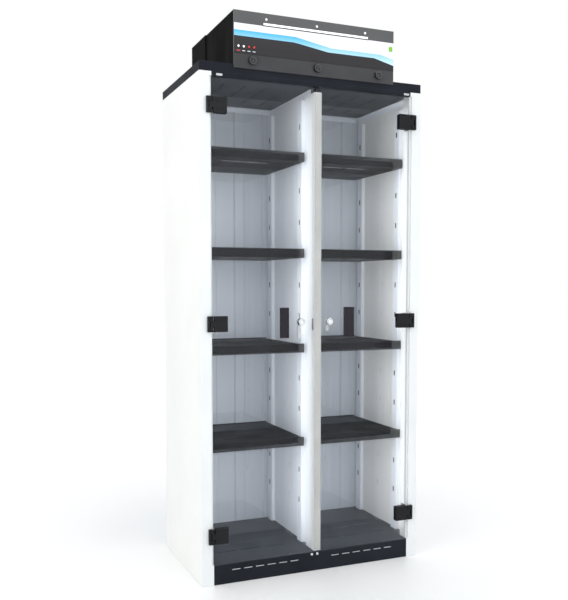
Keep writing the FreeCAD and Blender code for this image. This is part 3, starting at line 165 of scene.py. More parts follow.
class Paint:
    """A node material that is put together step by step."""

    def __init__(self, name, **values):
        self.material = bpy.data.materials.new(name)
        self.material.use_nodes = True
        self.tree = self.material.node_tree
        self.shader = self.tree.nodes["Principled BSDF"]
        self.coordinates = self.node("ShaderNodeTexCoord").outputs["Object"]
        for key, value in values.items():
            self.shader.inputs[key.replace("_", " ")].default_value = value

    def node(self, kind, **settings):
        made = self.tree.nodes.new(kind)
        for key, value in settings.items():
            setattr(made, key, value)
        return made

    def link(self, source, target):
        self.tree.links.new(source, target)

    def colour(self, source):
        self.link(source, self.shader.inputs["Base Color"])

    def roughness(self, source):
        self.link(source, self.shader.inputs["Roughness"])

    def stretched(self, scale):
        mapping = self.node("ShaderNodeMapping")
        mapping.inputs["Scale"].default_value = scale
        self.link(self.coordinates, mapping.inputs["Vector"])
        return mapping.outputs["Vector"]

    def split(self, vector):
        made = self.node("ShaderNodeSeparateXYZ")
        self.link(vector, made.inputs[0])
        return made.outputs

    def geometry(self, output):
        return self.node("ShaderNodeNewGeometry").outputs[output]

    def noise(self, scale, detail, vector=None):
        made = self.node("ShaderNodeTexNoise")
        made.inputs["Scale"].default_value = scale
        made.inputs["Detail"].default_value = detail
        self.link(vector or self.coordinates, made.inputs["Vector"])
        return made.outputs["Fac"]

    def cells(self, scale, feature="F1"):
        made = self.node("ShaderNodeTexVoronoi", feature=feature)
        made.inputs["Scale"].default_value = scale
        self.link(self.coordinates, made.inputs["Vector"])
        return made.outputs

    def ranged(self, source, span, to=FULL):
        """The source with the ends of its span brought to those of another one."""
        made = self.node("ShaderNodeMapRange")
        ends = zip(("From Min", "From Max", "To Min", "To Max"), (*span, *to))
        for socket, value in ends:
            made.inputs[socket].default_value = value
        self.link(source, made.inputs["Value"])
        return made.outputs["Result"]

    def blend(self, factor, first, second):
        made = self.node("ShaderNodeMix", data_type="RGBA")
        self.link(factor, made.inputs[0])
        for socket, value in ((made.inputs[6], first), (made.inputs[7], second)):
            if isinstance(value, tuple):
                socket.default_value = (*value, 1)
            else:
                self.link(value, socket)
        return made.outputs[2]

    def calculate(self, operation, first, second=0):
        made = self.node("ShaderNodeMath", operation=operation)
        for socket, value in zip(made.inputs, (first, second)):
            if isinstance(value, (int, float)):
                socket.default_value = value
            else:
                self.link(value, socket)
        return made.outputs[0]

    def softened(self, radius):
        """The normal of a surface whose edges are rounded off."""
        bevel = self.node("ShaderNodeBevel", samples=4)
        bevel.inputs["Radius"].default_value = radius
        return bevel.outputs[0]

    def edge_mask(self, soft):
        """White on the edges, where the rounded normal leaves the plain one."""
        dot = self.node("ShaderNodeVectorMath", operation="DOT_PRODUCT")
        self.link(soft, dot.inputs[0])
        self.link(self.geometry("Normal"), dot.inputs[1])
        return self.ranged(dot.outputs["Value"], EDGE_SPAN)

    def relief(self, height, depth, normal=None, strength=1.0):
        bump = self.node("ShaderNodeBump")
        bump.inputs["Distance"].default_value = depth
        bump.inputs["Strength"].default_value = strength
        self.link(height, bump.inputs["Height"])
        if normal is not None:
            self.link(normal, bump.inputs["Normal"])
        self.link(bump.outputs[0], self.shader.inputs["Normal"])


def paler(colour, gain, lift):
    return tuple(min(1, value * gain + lift) for value in colour)


def coated(name, low, high, rough, grain=1400.0, depth=0.00006, rub_and_highlight=None, patch=5.0, specular=0.5):
    """Powder-coated metal: a fine skin, slow shifts of tone, softened edges, lighter where rubbed and
    where a highlight is painted on.
    """
    paint = Paint(name, Specular_IOR_Level=specular)
    tone = paint.blend(paint.ranged(paint.noise(patch, 3), MIDST), low, high)
    soft = paint.softened(0.0009)
    uneven = paint.ranged(paint.noise(45, 4), (0.42, 0.62), (0.15, 0.8))
    worn_and_highlit = paint.calculate("MULTIPLY", paint.edge_mask(soft), uneven)
    # Lighter edges: rubbed paint and a painted highlight.
    paint.colour(paint.blend(worn_and_highlit, tone, rub_and_highlight or paler(high, 1.25, 0.02)))
    smears = paint.noise(11, 5, paint.stretched((1, 1, 0.35)))
    paint.roughness(paint.ranged(smears, MIDST, around(rough, 0.07)))
    paint.relief(paint.noise(grain, 2), depth, soft)
    return paint.material


def moulded(name, low, high, rough, specular=0.5):
    """Injection-moulded plastic with a spark-eroded skin."""
    paint = Paint(name, Specular_IOR_Level=specular)
    tone = paint.blend(paint.ranged(paint.noise(9, 3), MIDST), low, high)
    soft = paint.softened(0.0007)
    # Lighter edges: wear and a painted highlight.
    worn_and_highlit = paint.calculate("MULTIPLY", paint.edge_mask(soft), 0.5)
    paint.colour(paint.blend(worn_and_highlit, tone, paler(high, 1.5, 0.03)))
    paint.roughness(paint.ranged(paint.noise(30, 4), MIDST, around(rough, 0.06)))
    paint.relief(paint.cells(900)["Distance"], 0.00004, soft)
    return paint.material


def bare(name, low, high, rough, along=(1, 1, 1), scale=600.0, depth=0.00002):
    """Bare metal with drawn lines and small scratches."""
    paint = Paint(name, Metallic=1.0)
    lines = paint.noise(scale, 4, paint.stretched(along))
    paint.colour(paint.blend(paint.ranged(lines, MIDST), low, high))
    paint.roughness(paint.ranged(paint.noise(60, 4), MIDST, (rough - 0.05, rough + 0.09)))
    paint.relief(lines, depth, paint.softened(0.0004))
    return paint.material


def lit(name, low, high, glow, strength):
    """A lens or diffuser that is lit from behind."""
    paint = Paint(name, Emission_Color=(*glow, 1), Emission_Strength=strength)
    paint.colour(paint.blend(paint.ranged(paint.noise(240, 2), MIDST), low, high))
    paint.roughness(paint.ranged(paint.noise(80, 3), MIDST, (0.20, 0.32)))
    paint.relief(paint.cells(720)["Distance"], 0.00005)
    return paint.material


def glossy(name, low, high, rough, coat):
    """Polished plastic with a clear skin and a few hairlines."""
    paint = Paint(name, Coat_Weight=coat, Coat_Roughness=0.05, Specular_IOR_Level=0.12)
    paint.colour(paint.blend(paint.ranged(paint.noise(25, 4), (0.35, 0.65)), low, high))
    paint.roughness(paint.ranged(paint.noise(140, 5), (0.35, 0.7), (rough, rough + 0.1)))
    paint.relief(paint.noise(300, 5), 0.000015, paint.softened(0.0005))
    return paint.material


def printed(name, low, high, rough):
    """Printed film with a faint orange peel, and a fade from the low to the high colour."""
    fade_levels = (1.72, 1.775)
    paint = Paint(name, Specular_IOR_Level=0.12)
    fade = paint.ranged(paint.split(paint.coordinates)["Z"], fade_levels)
    paint.colour(paint.blend(fade, low, high))
    paint.roughness(paint.ranged(paint.noise(60, 4), MIDST, (rough - 0.05, rough + 0.08)))
    paint.relief(paint.noise(500, 2), 0.00002)
    return paint.material


def shelf_coat():
    """The shelves' black coat, with rows of small punched holes, painted as darker dots of shade, on the
    faces that look down.
    """
    hole_pitch = 0.0151
    hole_edge = (0.17, 0.15)  # the radius of a hole and of its dark middle, as shares of the pitch
    downward = (-0.8, -0.95)
    paint = Paint("shelf_black_coat", Specular_IOR_Level=0.06)
    slow = paint.ranged(paint.noise(4, 3), MIDST)
    tone = paint.blend(slow, (0.004, 0.0042, 0.005), (0.008, 0.0084, 0.010))
    across = paint.split(paint.coordinates)
    squares = []
    for axis in "XY":
        share = paint.calculate("FRACT", paint.calculate("DIVIDE", across[axis], hole_pitch))
        offset = paint.calculate("SUBTRACT", share, 0.5)
        squares.append(paint.calculate("MULTIPLY", offset, offset))
    reach = paint.calculate("SQRT", paint.calculate("ADD", *squares))
    down = paint.ranged(paint.split(paint.geometry("Normal"))["Z"], downward)
    # Each hole is a darker dot, not a cut: painted shade of its depth.
    hole_shade = paint.calculate("MULTIPLY", paint.ranged(reach, hole_edge), down)
    soft = paint.softened(0.0012)
    uneven = paint.ranged(paint.noise(45, 4), (0.4, 0.6), (0.25, 0.9))
    worn_and_highlit = paint.calculate("MULTIPLY", paint.edge_mask(soft), uneven)
    # Lighter edges: rubbed paint and a painted highlight along the lips.
    edged = paint.blend(worn_and_highlit, tone, (0.085, 0.088, 0.095))
    paint.colour(paint.blend(hole_shade, edged, (0.001, 0.001, 0.001)))
    paint.roughness(paint.ranged(paint.noise(12, 5), MIDST, (0.40, 0.56)))
    paint.relief(paint.noise(900, 2), 0.0001, soft)
    return paint.material


def door_pane():
    """Clear float glass with faint wipe marks, green along its edges."""
    paint = Paint("clear_pane", Transmission_Weight=1.0, IOR=1.45, Alpha=0.1)
    edge = paint.edge_mask(paint.softened(0.0012))
    paint.colour(paint.blend(edge, (0.955, 0.975, 0.985), (0.62, 0.80, 0.76)))
    wipes = paint.noise(6, 6, paint.stretched((1, 1, 0.25)))
    paint.roughness(paint.ranged(wipes, (0.35, 0.75), (0.0, 0.02)))
    paint.relief(paint.noise(2.5, 1), 0.0002, strength=0.15)
    return paint.material


def circuit_board():
    """Green solder mask over copper tracks."""
    paint = Paint("solder_mask")
    tracks = paint.cells(160, feature="DISTANCE_TO_EDGE")["Distance"]
    lane = paint.ranged(tracks, (0.03, 0.05), (1, 0))
    paint.colour(paint.blend(lane, (0.008, 0.085, 0.03), (0.03, 0.19, 0.07)))
    paint.roughness(paint.ranged(paint.noise(90, 3), MIDST, (0.22, 0.36)))
    paint.relief(lane, 0.00004)
    return paint.material


def filter_fleece():
    """Spun fibre: soft white threads over a bluish ground."""
    paint = Paint("filter_fleece", Sheen_Weight=0.3, Sheen_Roughness=0.5)
    threads = paint.noise(900, 6, paint.stretched((1, 0.2, 1)))
    paint.colour(paint.blend(paint.ranged(threads, (0.35, 0.65)), (0.58, 0.62, 0.66), (0.86, 0.88, 0.9)))
    paint.roughness(paint.ranged(threads, MIDST, (0.8, 0.95)))
    paint.relief(threads, 0.0004)
    return paint.material


def carbon_grains():
    """Granules of active carbon: crushed facets, each with its own tone."""
    paint = Paint("carbon_grains")
    grains = paint.cells(420)
    tone = paint.node("ShaderNodeSeparateColor")
    paint.link(grains["Color"], tone.inputs[0])
    paint.colour(paint.blend(tone.outputs[0], (0.006, 0.006, 0.007), (0.035, 0.035, 0.04)))
    paint.roughness(paint.ranged(tone.outputs[1], FULL, (0.35, 0.75)))
    paint.relief(grains["Distance"], 0.0012)
    return paint.material


# White coats

FINE_SKIN = {"grain": 1100, "depth": 0.00004}
side_white = coated("side_white_coat", (0.86, 0.855, 0.83), (0.90, 0.895, 0.87), 0.42,
                    rub_and_highlight=(0.97, 0.97, 0.96), **FINE_SKIN)
# The uprights' white is a shade darker than the side panels' white: painted shade for faces that look to
# the front.
frame_shaded_white = coated("frame_shaded_white_coat", (0.76, 0.78, 0.78), (0.82, 0.835, 0.83), 0.4,
                     rub_and_highlight=(0.95, 0.95, 0.95), **FINE_SKIN)
post_white = coated("post_white_coat", (0.84, 0.86, 0.88), (0.88, 0.90, 0.92), 0.4,
                    rub_and_highlight=(0.9, 0.9, 0.88), **FINE_SKIN)
# The back panel's white is darker than the walls' white: painted shade for the depth of the bays.
back_shaded_white = coated("back_painted_shade_coat", (0.58, 0.62, 0.68), (0.64, 0.68, 0.74), 0.38,
                    rub_and_highlight=(0.85, 0.87, 0.9), patch=2.2, **FINE_SKIN)
inner_white = coated("inner_white_coat", (0.82, 0.86, 0.92), (0.87, 0.90, 0.95), 0.38,
                     rub_and_highlight=(0.88, 0.9, 0.93), patch=2.2, **FINE_SKIN)

# Dark coats

cap_black = coated("cap_black_coat", (0.015, 0.017, 0.022), (0.022, 0.025, 0.031), 0.5,
                   grain=900, depth=0.00012, rub_and_highlight=(0.07, 0.075, 0.09), specular=0.03)
ceiling_grey = coated("ceiling_grey_coat", (0.030, 0.034, 0.042), (0.046, 0.052, 0.062), 0.5,
                      specular=0.25)
tray_black = coated("tray_black_coat", (0.024, 0.028, 0.036), (0.036, 0.041, 0.051), 0.42,
                    grain=900, depth=0.0001, rub_and_highlight=(0.09, 0.095, 0.11), specular=0.3)
shelf_black = shelf_coat()
hinge_black = coated("hinge_black_coat", (0.005, 0.005, 0.006), (0.010, 0.010, 0.012), 0.5,
                     grain=700, depth=0.0001, rub_and_highlight=(0.05, 0.05, 0.055), specular=0.2)
handle_black = coated("handle_black_coat", (0.010, 0.008, 0.012), (0.018, 0.014, 0.02), 0.42,
                      grain=900, rub_and_highlight=(0.06, 0.055, 0.065), specular=0.2)
module_black = coated("module_black_coat", (0.0018, 0.0018, 0.002), (0.0036, 0.0036, 0.004), 0.55,
                      grain=900, rub_and_highlight=(0.03, 0.03, 0.03), specular=0.015)
panel_grey = coated("panel_grey_coat", (0.098, 0.098, 0.098), (0.118, 0.118, 0.118), 0.5,
                    grain=1000, depth=0.00005, rub_and_highlight=(0.22, 0.22, 0.22), specular=0.2)
cover_grey = coated("cover_grey_coat", (0.046, 0.046, 0.048), (0.072, 0.072, 0.076), 0.42,
                    grain=1000, depth=0.00005, rub_and_highlight=(0.18, 0.18, 0.18), specular=0.1)

# Bare metal and glass

bright_metal = bare("bright_chrome", (0.52, 0.53, 0.55), (0.66, 0.67, 0.69), 0.22)
plain_steel = bare("zinc_steel", (0.36, 0.37, 0.39), (0.50, 0.51, 0.53), 0.42, (1, 1, 12), 240, 0.00003)
glass = door_pane()

# Plastics and printed films

# The grey of the strip down the post's face, darker than the post's white.
strip_grey = moulded("post_strip_skin", (0.46, 0.46, 0.44), (0.52, 0.52, 0.50), 0.5, specular=0.2)
slot_dark = moulded("slot_shadow", (0.004, 0.004, 0.005), (0.009, 0.009, 0.011), 0.7, specular=0.1)
foot_plastic = moulded("foot_rubber", (0.012, 0.012, 0.012), (0.024, 0.024, 0.024), 0.62)
fan_black = moulded("fan_plastic", (0.010, 0.010, 0.011), (0.020, 0.020, 0.022), 0.45)
inlet_black = moulded("inlet_plastic", (0.008, 0.008, 0.008), (0.015, 0.015, 0.015), 0.4)
knob_black = glossy("knob_gloss_black", (0.004, 0.004, 0.004), (0.009, 0.009, 0.010), 0.08, 0.75)
white_plastic = glossy("white_plastic", (0.86, 0.87, 0.88), (0.92, 0.93, 0.94), 0.25, 0.2)
film_dark = printed("film_dark_print", (0.036, 0.034, 0.036), (0.046, 0.044, 0.046), 0.45)
film_blue = printed("film_blue_print", (0.62, 0.86, 0.97), (0.03, 0.46, 0.86), 0.3)

# Lamps

bar_white = lit("bar_diffuser", (0.92, 0.93, 0.95), (0.97, 0.98, 1), (1, 1, 1), 0.45)
lamp_white = lit("lamp_white_lens", (0.8, 0.8, 0.78), (0.92, 0.92, 0.9), (1, 1, 0.95), 0.35)
lamp_red = lit("lamp_red_lens", (0.42, 0.02, 0.015), (0.58, 0.04, 0.03), (1, 0.06, 0.04), 0.2)
button_green = lit("button_lit_green", (0.14, 0.38, 0.01), (0.20, 0.46, 0.02), (0.30, 0.75, 0.02), 0.15)


# The frame's nodes get their materials

def both(*words):
    return [f"{side}_{word}" for side, _ in SIDES for word in words]


def dress(piece, material):
    if piece.material_slots:
        for slot in piece.material_slots:
            slot.material = material
    else:
        piece.data.materials.append(material)


NODES_BY_MATERIAL = (
    (side_white, both("side_panel")),
    (frame_shaded_white, both("upright")),
    (post_white, ["centre_post"]),
    (inner_white, ["partition_panel", "ceiling_rails"] + both("bay_standards")),
    (back_shaded_white, ["back_panel"]),
    (cap_black, ["top_slab", "header_rail", "plinth_panel", "door_catch"]),
    (tray_black, ["floor_tray"]),
    (ceiling_grey, ["ceiling_panel"]),
    (shelf_black, both("shelf_1", "shelf_2", "shelf_3", "shelf_4")),
    (glass, both("door_glass")),
    (hinge_black, ["hinge_frame_leaves"] + both("hinge_leaves", "hinge_clamps")),
    (handle_black, both("handle")),
    (bright_metal, ["stop_studs"] + both("lock_body", "lock_plug")),
    (plain_steel, ["hinge_brackets", "hinge_pins", "shelf_clips"] + both("lock_cam")),
    (foot_plastic, ["levelling_feet"]),
    (module_black, ["filter_casing", "fan_hood"]),
    (panel_grey, ["control_panel"]),
    (cover_grey, ["filter_cover"]),
    (knob_black, [f"{word}_cover_knob" for word in KNOBS]),
    (bar_white, ["light_bar"]),
    (lamp_white, ["indicator_lamps"]),
    (button_green, ["power_button"]),
    (circuit_board(), ["control_board"]),
    (filter_fleece(), ["prefilter"]),
    (carbon_grains(), ["carbon_filter"]),
    (fan_black, ["fan_housing", "fan_rotor"]),
    (inlet_black, ["power_inlet"]),
)
for material, names in NODES_BY_MATERIAL:
    for name in names:
        dress(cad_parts[name], material)


# Tools that build pieces, in millimetres

SCREW_SHARES = ((1, 0), (1, 0.45), (0.92, 0.75), (0.7, 1), (0.42, 1), (0.36, 0.45), (0, 0.35))


def finish_piece(name, mesh, material, body="cabinet"):
    mesh.normal_update()
    data = bpy.data.meshes.new(name)
    mesh.to_mesh(data)
    mesh.free()
    piece = bpy.data.objects.new(name, data)
    bpy.context.scene.collection.objects.link(piece)
    data.materials.append(material)
    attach(piece, body)
    return piece


def add_block(mesh, width, depth, height, bevel=0.3):
    """A block with bevelled edges; each of its three sizes is a pair of ends."""
    verts = bmesh.ops.create_cube(mesh, size=1)["verts"]
    low, high = (place(*corner) for corner in zip(width, depth, height))
    for vert in verts:
        vert.co = Vector(((low[k] + high[k]) / 2 + vert.co[k] * (high[k] - low[k])) for k in range(3))
    edges = list({edge for vert in verts for edge in vert.link_edges})
    bmesh.ops.bevel(mesh, geom=edges, offset=bevel * MM, segments=2, profile=0.6, affect="EDGES")


def add_lathe(mesh, centre, profile, way=-1, segments=32):
    """A turned form along Y: profile holds pairs of radius and reach, way is -1 for the front."""
    turn = Matrix.Rotation(-way * math.pi / 2, 3, "X")
    rings = []
    for radius, reach in profile:
        count = segments if radius else 1
        rings.append([mesh.verts.new(centre + turn @ Vector((
            radius * MM * math.cos(math.tau * k / segments),
            radius * MM * math.sin(math.tau * k / segments), reach * MM))) for k in range(count)])
    for first, second in zip(rings, rings[1:]):
        for k in range(segments):
            j = (k + 1) % segments
            corners = [first[k % len(first)], first[j % len(first)], second[j % len(second)],
                       second[k % len(second)]]
            face = mesh.faces.new(list(dict.fromkeys(corners)))
            face.smooth = True
    if len(rings[0]) > 1:
        mesh.faces.new(rings[0][::-1])
    if len(rings[-1]) > 1:
        mesh.faces.new(rings[-1])


def add_screw(mesh, centre, radius, height, way=-1):
    """A pan head with a recess."""
    profile = [(radius * wide, height * tall) for wide, tall in SCREW_SHARES]
    add_lathe(mesh, centre, profile, way, segments=20)


def add_sheet(mesh, outline, rear, thickness):
    """A flat film on a plane that looks to the front: outline holds pairs of X and Z."""
    near = [mesh.verts.new(place(x, rear - thickness, z)) for x, z in outline]
    far = [mesh.verts.new(place(x, rear, z)) for x, z in outline]
    mesh.faces.new(near)
    mesh.faces.new(far[::-1])
    count = len(outline)
    for k in range(count):
        mesh.faces.new((near[k], far[k], far[(k + 1) % count], near[(k + 1) % count]))
    bmesh.ops.recalc_face_normals(mesh, faces=mesh.faces)


# Control panel

LAMP_COUNT = 4
FILM_THICKNESS = 0.2
panel_low, panel_high = box("control_panel")
panel_front = panel_low[1]
film_face = panel_front - FILM_THICKNESS
lamps_low, lamps_high = box("indicator_lamps")
lamp_radius = (lamps_high[2] - lamps_low[2]) / 2
lamp_level = lamps_low[2] + lamp_radius
lamp_pitch = (lamps_high[0] - lamps_low[0] - 2 * lamp_radius) / (LAMP_COUNT - 1)
lamp_row = [lamps_low[0] + lamp_radius + lamp_pitch * k for k in range(LAMP_COUNT)]


def panel_films():
    """Plain colour blocks with slanted joints; heights are told from the panel's foot."""
    margin = 0.5
    white_foot, white_head = 31, 92
    left, right = panel_low[0] + margin, panel_high[0] - margin
    lower_joint = [(right, 17), (212, 35), (40, 35), (-80, 53), (left, 53)]
    upper_joint = [(right, 37), (236, 49), (52, 49), (-76, 71), (left, 71)]
    white_block = [(left, white_foot), (right, white_foot), (right, white_head), (left, white_head)]
    dark_block = [(left, 0), (right, 0)] + lower_joint
    blue_band = lower_joint[::-1] + upper_joint
    films = (
        ("panel_film_white", white_plastic, white_block, FILM_THICKNESS),
        ("panel_film_dark", film_dark, dark_block, 0.24),
        ("panel_film_blue", film_blue, blue_band, 0.28),
    )
    for name, material, outline, thickness in films:
        mesh = bmesh.new()
        add_sheet(mesh, [(x, panel_low[2] + rise) for x, rise in outline], panel_front, thickness)
        finish_piece(name, mesh, material)


def bar_shade():
    """The thin dark line under the light bar."""
    overhang = 1
    thickness = 0.5
    gap = 0.1
    height = 2.2
    low, high = box("light_bar")
    top = low[2] - gap
    mesh = bmesh.new()
    add_block(mesh, (low[0] - overhang, high[0] + overhang), (panel_front - thickness, panel_front),
              (top - height, top), bevel=0.15)
    finish_piece("bar_shade_line", mesh, film_dark)


def panel_caps():
    """Three white screw caps near the head of the panel."""
    row = (-178, -1, 177)
    drop = 19
    profile = ((4.2, 0), (4.2, 0.8), (3.4, 1.8), (1.8, 2.4), (0, 2.6))
    mesh = bmesh.new()
    for x in row:
        add_lathe(mesh, place(x, panel_front, panel_high[2] - drop), profile)
    finish_piece("panel_screw_caps", mesh, white_plastic)


def lamp_lenses():
    """A domed lens on each lamp, two white and two red ones."""
    seat = 0.1
    profile = ((3.6, 0), (3.6, 0.6), (2.9, 1.5), (1.5, 2.1), (0, 2.3))
    lenses = (("white", lamp_white, lamp_row[:2]), ("red", lamp_red, lamp_row[2:]))
    for word, material, row in lenses:
        mesh = bmesh.new()
        for x in row:
            add_lathe(mesh, place(x, lamps_low[1] + seat, lamp_level), profile, segments=24)
        finish_piece(f"{word}_lamp_lenses", mesh, material)


def lamp_bezels():
    """A dark ring round each lamp."""
    profile = ((5.4, 0), (5.4, 0.8), (4.6, 1.1), (3.7, 0.9))
    mesh = bmesh.new()
    for x in lamp_row:
        add_lathe(mesh, place(x, film_face, lamp_level), profile, segments=24)
    finish_piece("lamp_bezels", mesh, film_dark)


def lamp_markers():
    """A plain bar under each lamp; the first one is red and a little larger."""
    drop = 13.4
    level = lamp_level - drop
    red_reach = 6
    red_rise = 1.4
    red_front = panel_front - 0.55
    pale_reach = 5
    pale_rise = 1
    pale_front = panel_front - 0.5
    mesh = bmesh.new()
    # The red marker takes the red lens's glowing material, so it glows though it is no lamp: painted
    # light.
    add_block(mesh, around(lamp_row[0], red_reach), (red_front, film_face), around(level, red_rise),
              bevel=0.12)
    finish_piece("red_marker", mesh, lamp_red)
    mesh = bmesh.new()
    for x in lamp_row[1:]:
        add_block(mesh, around(x, pale_reach), (pale_front, film_face), around(level, pale_rise),
                  bevel=0.12)
    finish_piece("pale_markers", mesh, white_plastic)


def knob_domes():
    """A smooth dome over each many-sided cover knob, on a thin washer."""
    radius = 13.6
    skirt = 3.0
    rise = 9.0
    angles = (0.25, 0.5, 0.75, 1.0, 1.2, 1.38)
    dome = [(13.5, 0.6), (radius, skirt)]
    dome += [(radius * math.cos(angle), skirt + rise * math.sin(angle)) for angle in angles]
    dome.append((0, skirt + rise))
    washer = ((15.4, 0), (15.4, 0.7), (14.6, 1.2), (12.8, 1.2))
    for word in KNOBS:
        x, _, level = middle(f"{word}_cover_knob")
        centre = place(x, panel_front, level)
        mesh = bmesh.new()
        add_lathe(mesh, centre, dome, segments=48)
        add_lathe(mesh, centre, washer, segments=48)
        finish_piece(f"{word}_knob_dome", mesh, knob_black, f"{word}_knob")


panel_films()
bar_shade()
panel_caps()
lamp_lenses()
lamp_bezels()
lamp_markers()
knob_domes()


# Doors

HINGE_HEIGHT = 50
hinge_low, hinge_high = box("hinge_frame_leaves")
hinge_front = hinge_low[1]
lowest_hinge = hinge_low[2] + HINGE_HEIGHT / 2
highest_hinge = hinge_high[2] - HINGE_HEIGHT / 2
hinge_levels = (lowest_hinge, (lowest_hinge + highest_hinge) / 2, highest_hinge)


def hinge_screws(word, side):
    """Four screws on the moving leaf of each of the door's hinges."""
    reaches = (14, 32)
    rises = (12, -12)
    leaf_edge = box("right_hinge_leaves")[0][0]
    mesh = bmesh.new()
    for level in hinge_levels:
        for reach in reaches:
            for rise in rises:
                centre = place((leaf_edge + reach) * side, hinge_front, level + rise)
                add_screw(mesh, centre, radius=3.2, height=1.4)
    finish_piece(f"{word}_hinge_screws", mesh, hinge_black, f"{word}_door")


def lock_rosette(word):
    """A turned rosette over the many-sided flange of the lock."""
    profile = ((12.3, -2.9), (12.3, 0.7), (11.4, 2.2), (9.4, 2.8), (7.2, 2.4), (5.9, 1.4), (5.9, 0.2))
    lock = f"{word}_lock_body"
    x, _, level = middle(lock)
    mesh = bmesh.new()
    add_lathe(mesh, place(x, box(lock)[0][1], level), profile, segments=48)
    finish_piece(f"{word}_lock_rosette", mesh, bright_metal, f"{word}_door")


def frame_screws():
    """Two screws on each fixed leaf."""
    inset = 6.5
    rises = (16, -16)
    mesh = bmesh.new()
    for _, side in SIDES:
        for level in hinge_levels:
            for rise in rises:
                centre = place((hinge_high[0] - inset) * side, hinge_front, level + rise)
                add_screw(mesh, centre, radius=2.6, height=1.2)
    finish_piece("frame_hinge_screws", mesh, hinge_black)


for word, side in SIDES:
    hinge_screws(word, side)
    lock_rosette(word)
frame_screws()


# Carcass

def header_plates():
    """Two bright plates on the header, above the outer ends of the doors."""
    spans = ((-344, -324), (333, 354))
    proud = 0.8
    sunk = 0.1
    foot = 1.4
    head = 8.4
    _, front, level = box("header_rail")[0]
    mesh = bmesh.new()
    for span in spans:
        add_block(mesh, span, (front - proud, front + sunk), (level + foot, level + head))
    finish_piece("header_plates", mesh, plain_steel)


def round_studs():
    """Round studs in place of the solids' hexagonal ones."""
    radius = 4
    profile = ((5.2, 0), (5.2, 0.8), (4.6, 2.0), (3.4, 2.9), (1.6, 3.4), (0, 3.5))
    low, high = box("stop_studs")
    mesh = bmesh.new()
    for x in (low[0] + radius, high[0] - radius):
        add_lathe(mesh, place(x, high[1], middle("stop_studs")[2]), profile)
    studs = finish_piece("round_stop_studs", mesh, bright_metal)
    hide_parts("stop_studs")


def post_grey_strip():
    """A grey strip down the face of the centre post."""
    side_inset = 0.4
    end_inset = 2
    thickness = 0.7
    low, high = box("centre_post")
    mesh = bmesh.new()
    add_block(mesh, (low[0] + side_inset, high[0] - side_inset), (low[1] - thickness, low[1]),
              (low[2] + end_inset, high[2] - end_inset))
    finish_piece("post_face_grey_strip", mesh, strip_grey)


def hook_slot_shade():
    """Dark marks on the standards, 5 mm beside their hook slots, two columns to each wall of a bay:
    painted shade of the slots' depth.
    """
    standard_depth = 13
    standard_width = 36
    first_slot = 214.8
    slot_pitch = 108.1
    slot_count = 13
    proud = 0.3
    sunk = 0.5
    shade_reach = 3.4
    shade_rise = 9
    mesh = bmesh.new()
    for word, _ in SIDES:
        low, high = box(f"{word}_bay_standards")
        for face, into in ((low[0] + standard_depth, -1), (high[0] - standard_depth, 1)):
            ends = sorted((face - proud * into, face + sunk * into))
            for y in (low[1] + standard_width / 2, high[1] - standard_width / 2):
                for k in range(slot_count):
                    level = first_slot + slot_pitch * k
                    add_block(mesh, ends, around(y, shade_reach), around(level, shade_rise), bevel=0.2)
    finish_piece("hook_slot_painted_shade", mesh, slot_dark)


def kick_slot_light():
    """Pale strips that stand back in the plinth's air slots: painted light seen through the slots."""
    starts = (-298, 61.5)
    slot_count = 6
    slot_pitch = 41.5
    slot_length = 29
    gap = 0.5
    height = (42.9, 44.2)
    front = box("plinth_panel")[0][1]
    depth = (front + 0.3, front + 1.2)
    mesh = bmesh.new()
    for start in starts:
        for k in range(slot_count):
            left = start + slot_pitch * k
            add_block(mesh, (left + gap, left + slot_length - gap), depth, height, bevel=0.1)
    finish_piece("kick_slot_painted_light", mesh, white_plastic)


def air_slot_light():
    """Pale strips in the air slots of the shelves, which show from below: painted light coming through the
    slots.
    """
    starts = (-274.5, -183.5, 103.5, 194.5)
    slot_length = 74
    slot_width = 6
    setback = 77
    gap = 0.3
    proud = 0.15
    sunk = 1.2
    mesh = bmesh.new()
    for start in starts:
        for number in (1, 2, 3, 4):
            _, front, foot = box(f"left_shelf_{number}")[0]
            slot_front = front + setback
            add_block(mesh, (start + gap, start + slot_length - gap),
                      (slot_front + gap, slot_front + slot_width - gap), (foot - proud, foot + sunk),
                      bevel=0.2)
    finish_piece("air_slot_painted_light", mesh, white_plastic)


def keyway(word):
    """The dark key slot on the face of the lock's plug, which turns with it; its dark blocks are painted
    shade for the slot's depth.
    """
    sunk = 0.1
    blocks = ((0.7, 3.4, 0.12), (1.3, 0.9, 0.14))  # each one's reach, rise and thickness
    plug = f"{word}_lock_plug"
    x, _, level = middle(plug)
    front = box(plug)[0][1]
    mesh = bmesh.new()
    for reach, rise, proud in blocks:
        add_block(mesh, around(x, reach), (front - proud, front + sunk), around(level, rise), bevel=0.05)
    finish_piece(f"{word}_keyway", mesh, slot_dark, f"{word}_lock")


def rear_screws():
    """Screws between the ribs of the back panel, at its foot and head, and down its sides."""
    rib_count = 7
    foot_inset = 40
    head_inset = 35
    side_inset = 21
    side_levels = range(180, 1560, 230)
    low, high = box("back_panel")
    rib_pitch = (high[0] - low[0]) / rib_count
    ends = [(round(low[0] + rib_pitch * k, 1), z) for k in range(1, rib_count)
            for z in (low[2] + foot_inset, high[2] - head_inset)]
    sides = [(x, z) for x in (low[0] + side_inset, high[0] - side_inset) for z in side_levels]
    mesh = bmesh.new()
    for x, z in ends + sides:
        add_screw(mesh, place(x, high[1], z), radius=4, height=2, way=1)
    finish_piece("rear_screws", mesh, plain_steel)


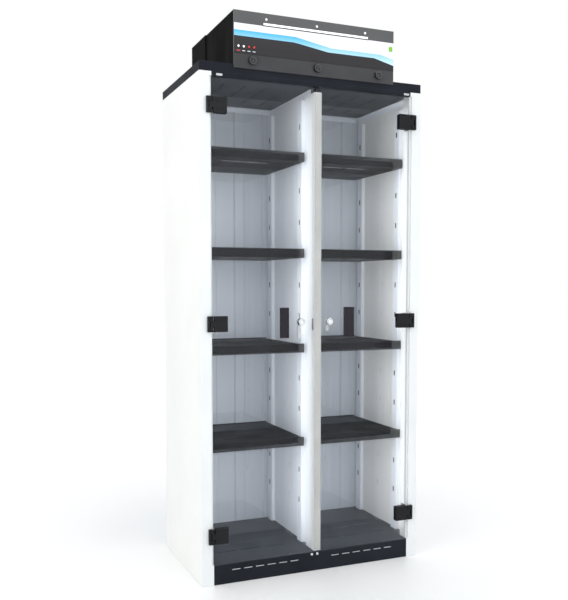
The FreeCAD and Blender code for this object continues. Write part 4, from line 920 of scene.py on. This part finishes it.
def hood_screws():
    """Screws along the seams on the rear of the filter unit."""
    row = (-270, -90, 90, 270)
    foot_inset = 12
    head_inset = 11.4
    low, high = box("fan_hood")
    mesh = bmesh.new()
    for x in row:
        for z in (low[2] + foot_inset, high[2] - head_inset):
            add_screw(mesh, place(x, high[1], z), radius=3.6, height=1.6, way=1)
    finish_piece("hood_rear_screws", mesh, plain_steel)


header_plates()
round_studs()
post_grey_strip()
hook_slot_shade()
kick_slot_light()
air_slot_light()
for word, _ in SIDES:
    keyway(word)
rear_screws()
hood_screws()


# Floor of the studio

def floor_material():
    """A pale floor that fades into the white of the world with distance."""
    glow_reach = (0.7, 2.6)
    glow_strength = (0.03, 0.34)
    paint = Paint("pale_floor")
    slow = paint.ranged(paint.noise(0.8, 3), MIDST)
    paint.colour(paint.blend(slow, (0.93, 0.925, 0.92), (0.95, 0.945, 0.94)))
    paint.roughness(paint.ranged(paint.noise(3, 3), MIDST, (0.35, 0.5)))
    distance = paint.node("ShaderNodeVectorMath", operation="LENGTH")
    paint.link(paint.geometry("Position"), distance.inputs[0])
    glow = paint.node("ShaderNodeEmission")
    glow.inputs["Color"].default_value = (1, 0.96, 0.92, 1)
    paint.link(paint.ranged(distance.outputs["Value"], glow_reach, glow_strength), glow.inputs["Strength"])
    glowing = paint.node("ShaderNodeAddShader")
    paint.link(paint.shader.outputs[0], glowing.inputs[0])
    paint.link(glow.outputs[0], glowing.inputs[1])
    mixed = paint.node("ShaderNodeMixShader")
    paint.link(paint.node("ShaderNodeLightPath").outputs["Is Camera Ray"], mixed.inputs["Fac"])
    paint.link(paint.shader.outputs[0], mixed.inputs[1])
    paint.link(glowing.outputs[0], mixed.inputs[2])
    paint.link(mixed.outputs[0], paint.tree.nodes["Material Output"].inputs["Surface"])
    return paint.material


def add_floor():
    """A wide floor, a hair below the cabinet's feet."""
    reach = 14
    centre = (0, 4, -0.0005)
    mesh = bmesh.new()
    bmesh.ops.create_grid(mesh, x_segments=8, y_segments=8, size=reach)
    data = bpy.data.meshes.new("floor")
    mesh.to_mesh(data)
    mesh.free()
    data.materials.append(floor_material())
    floor = bpy.data.objects.new("floor", data)
    floor.location = centre
    bpy.context.scene.collection.objects.link(floor)


add_floor()
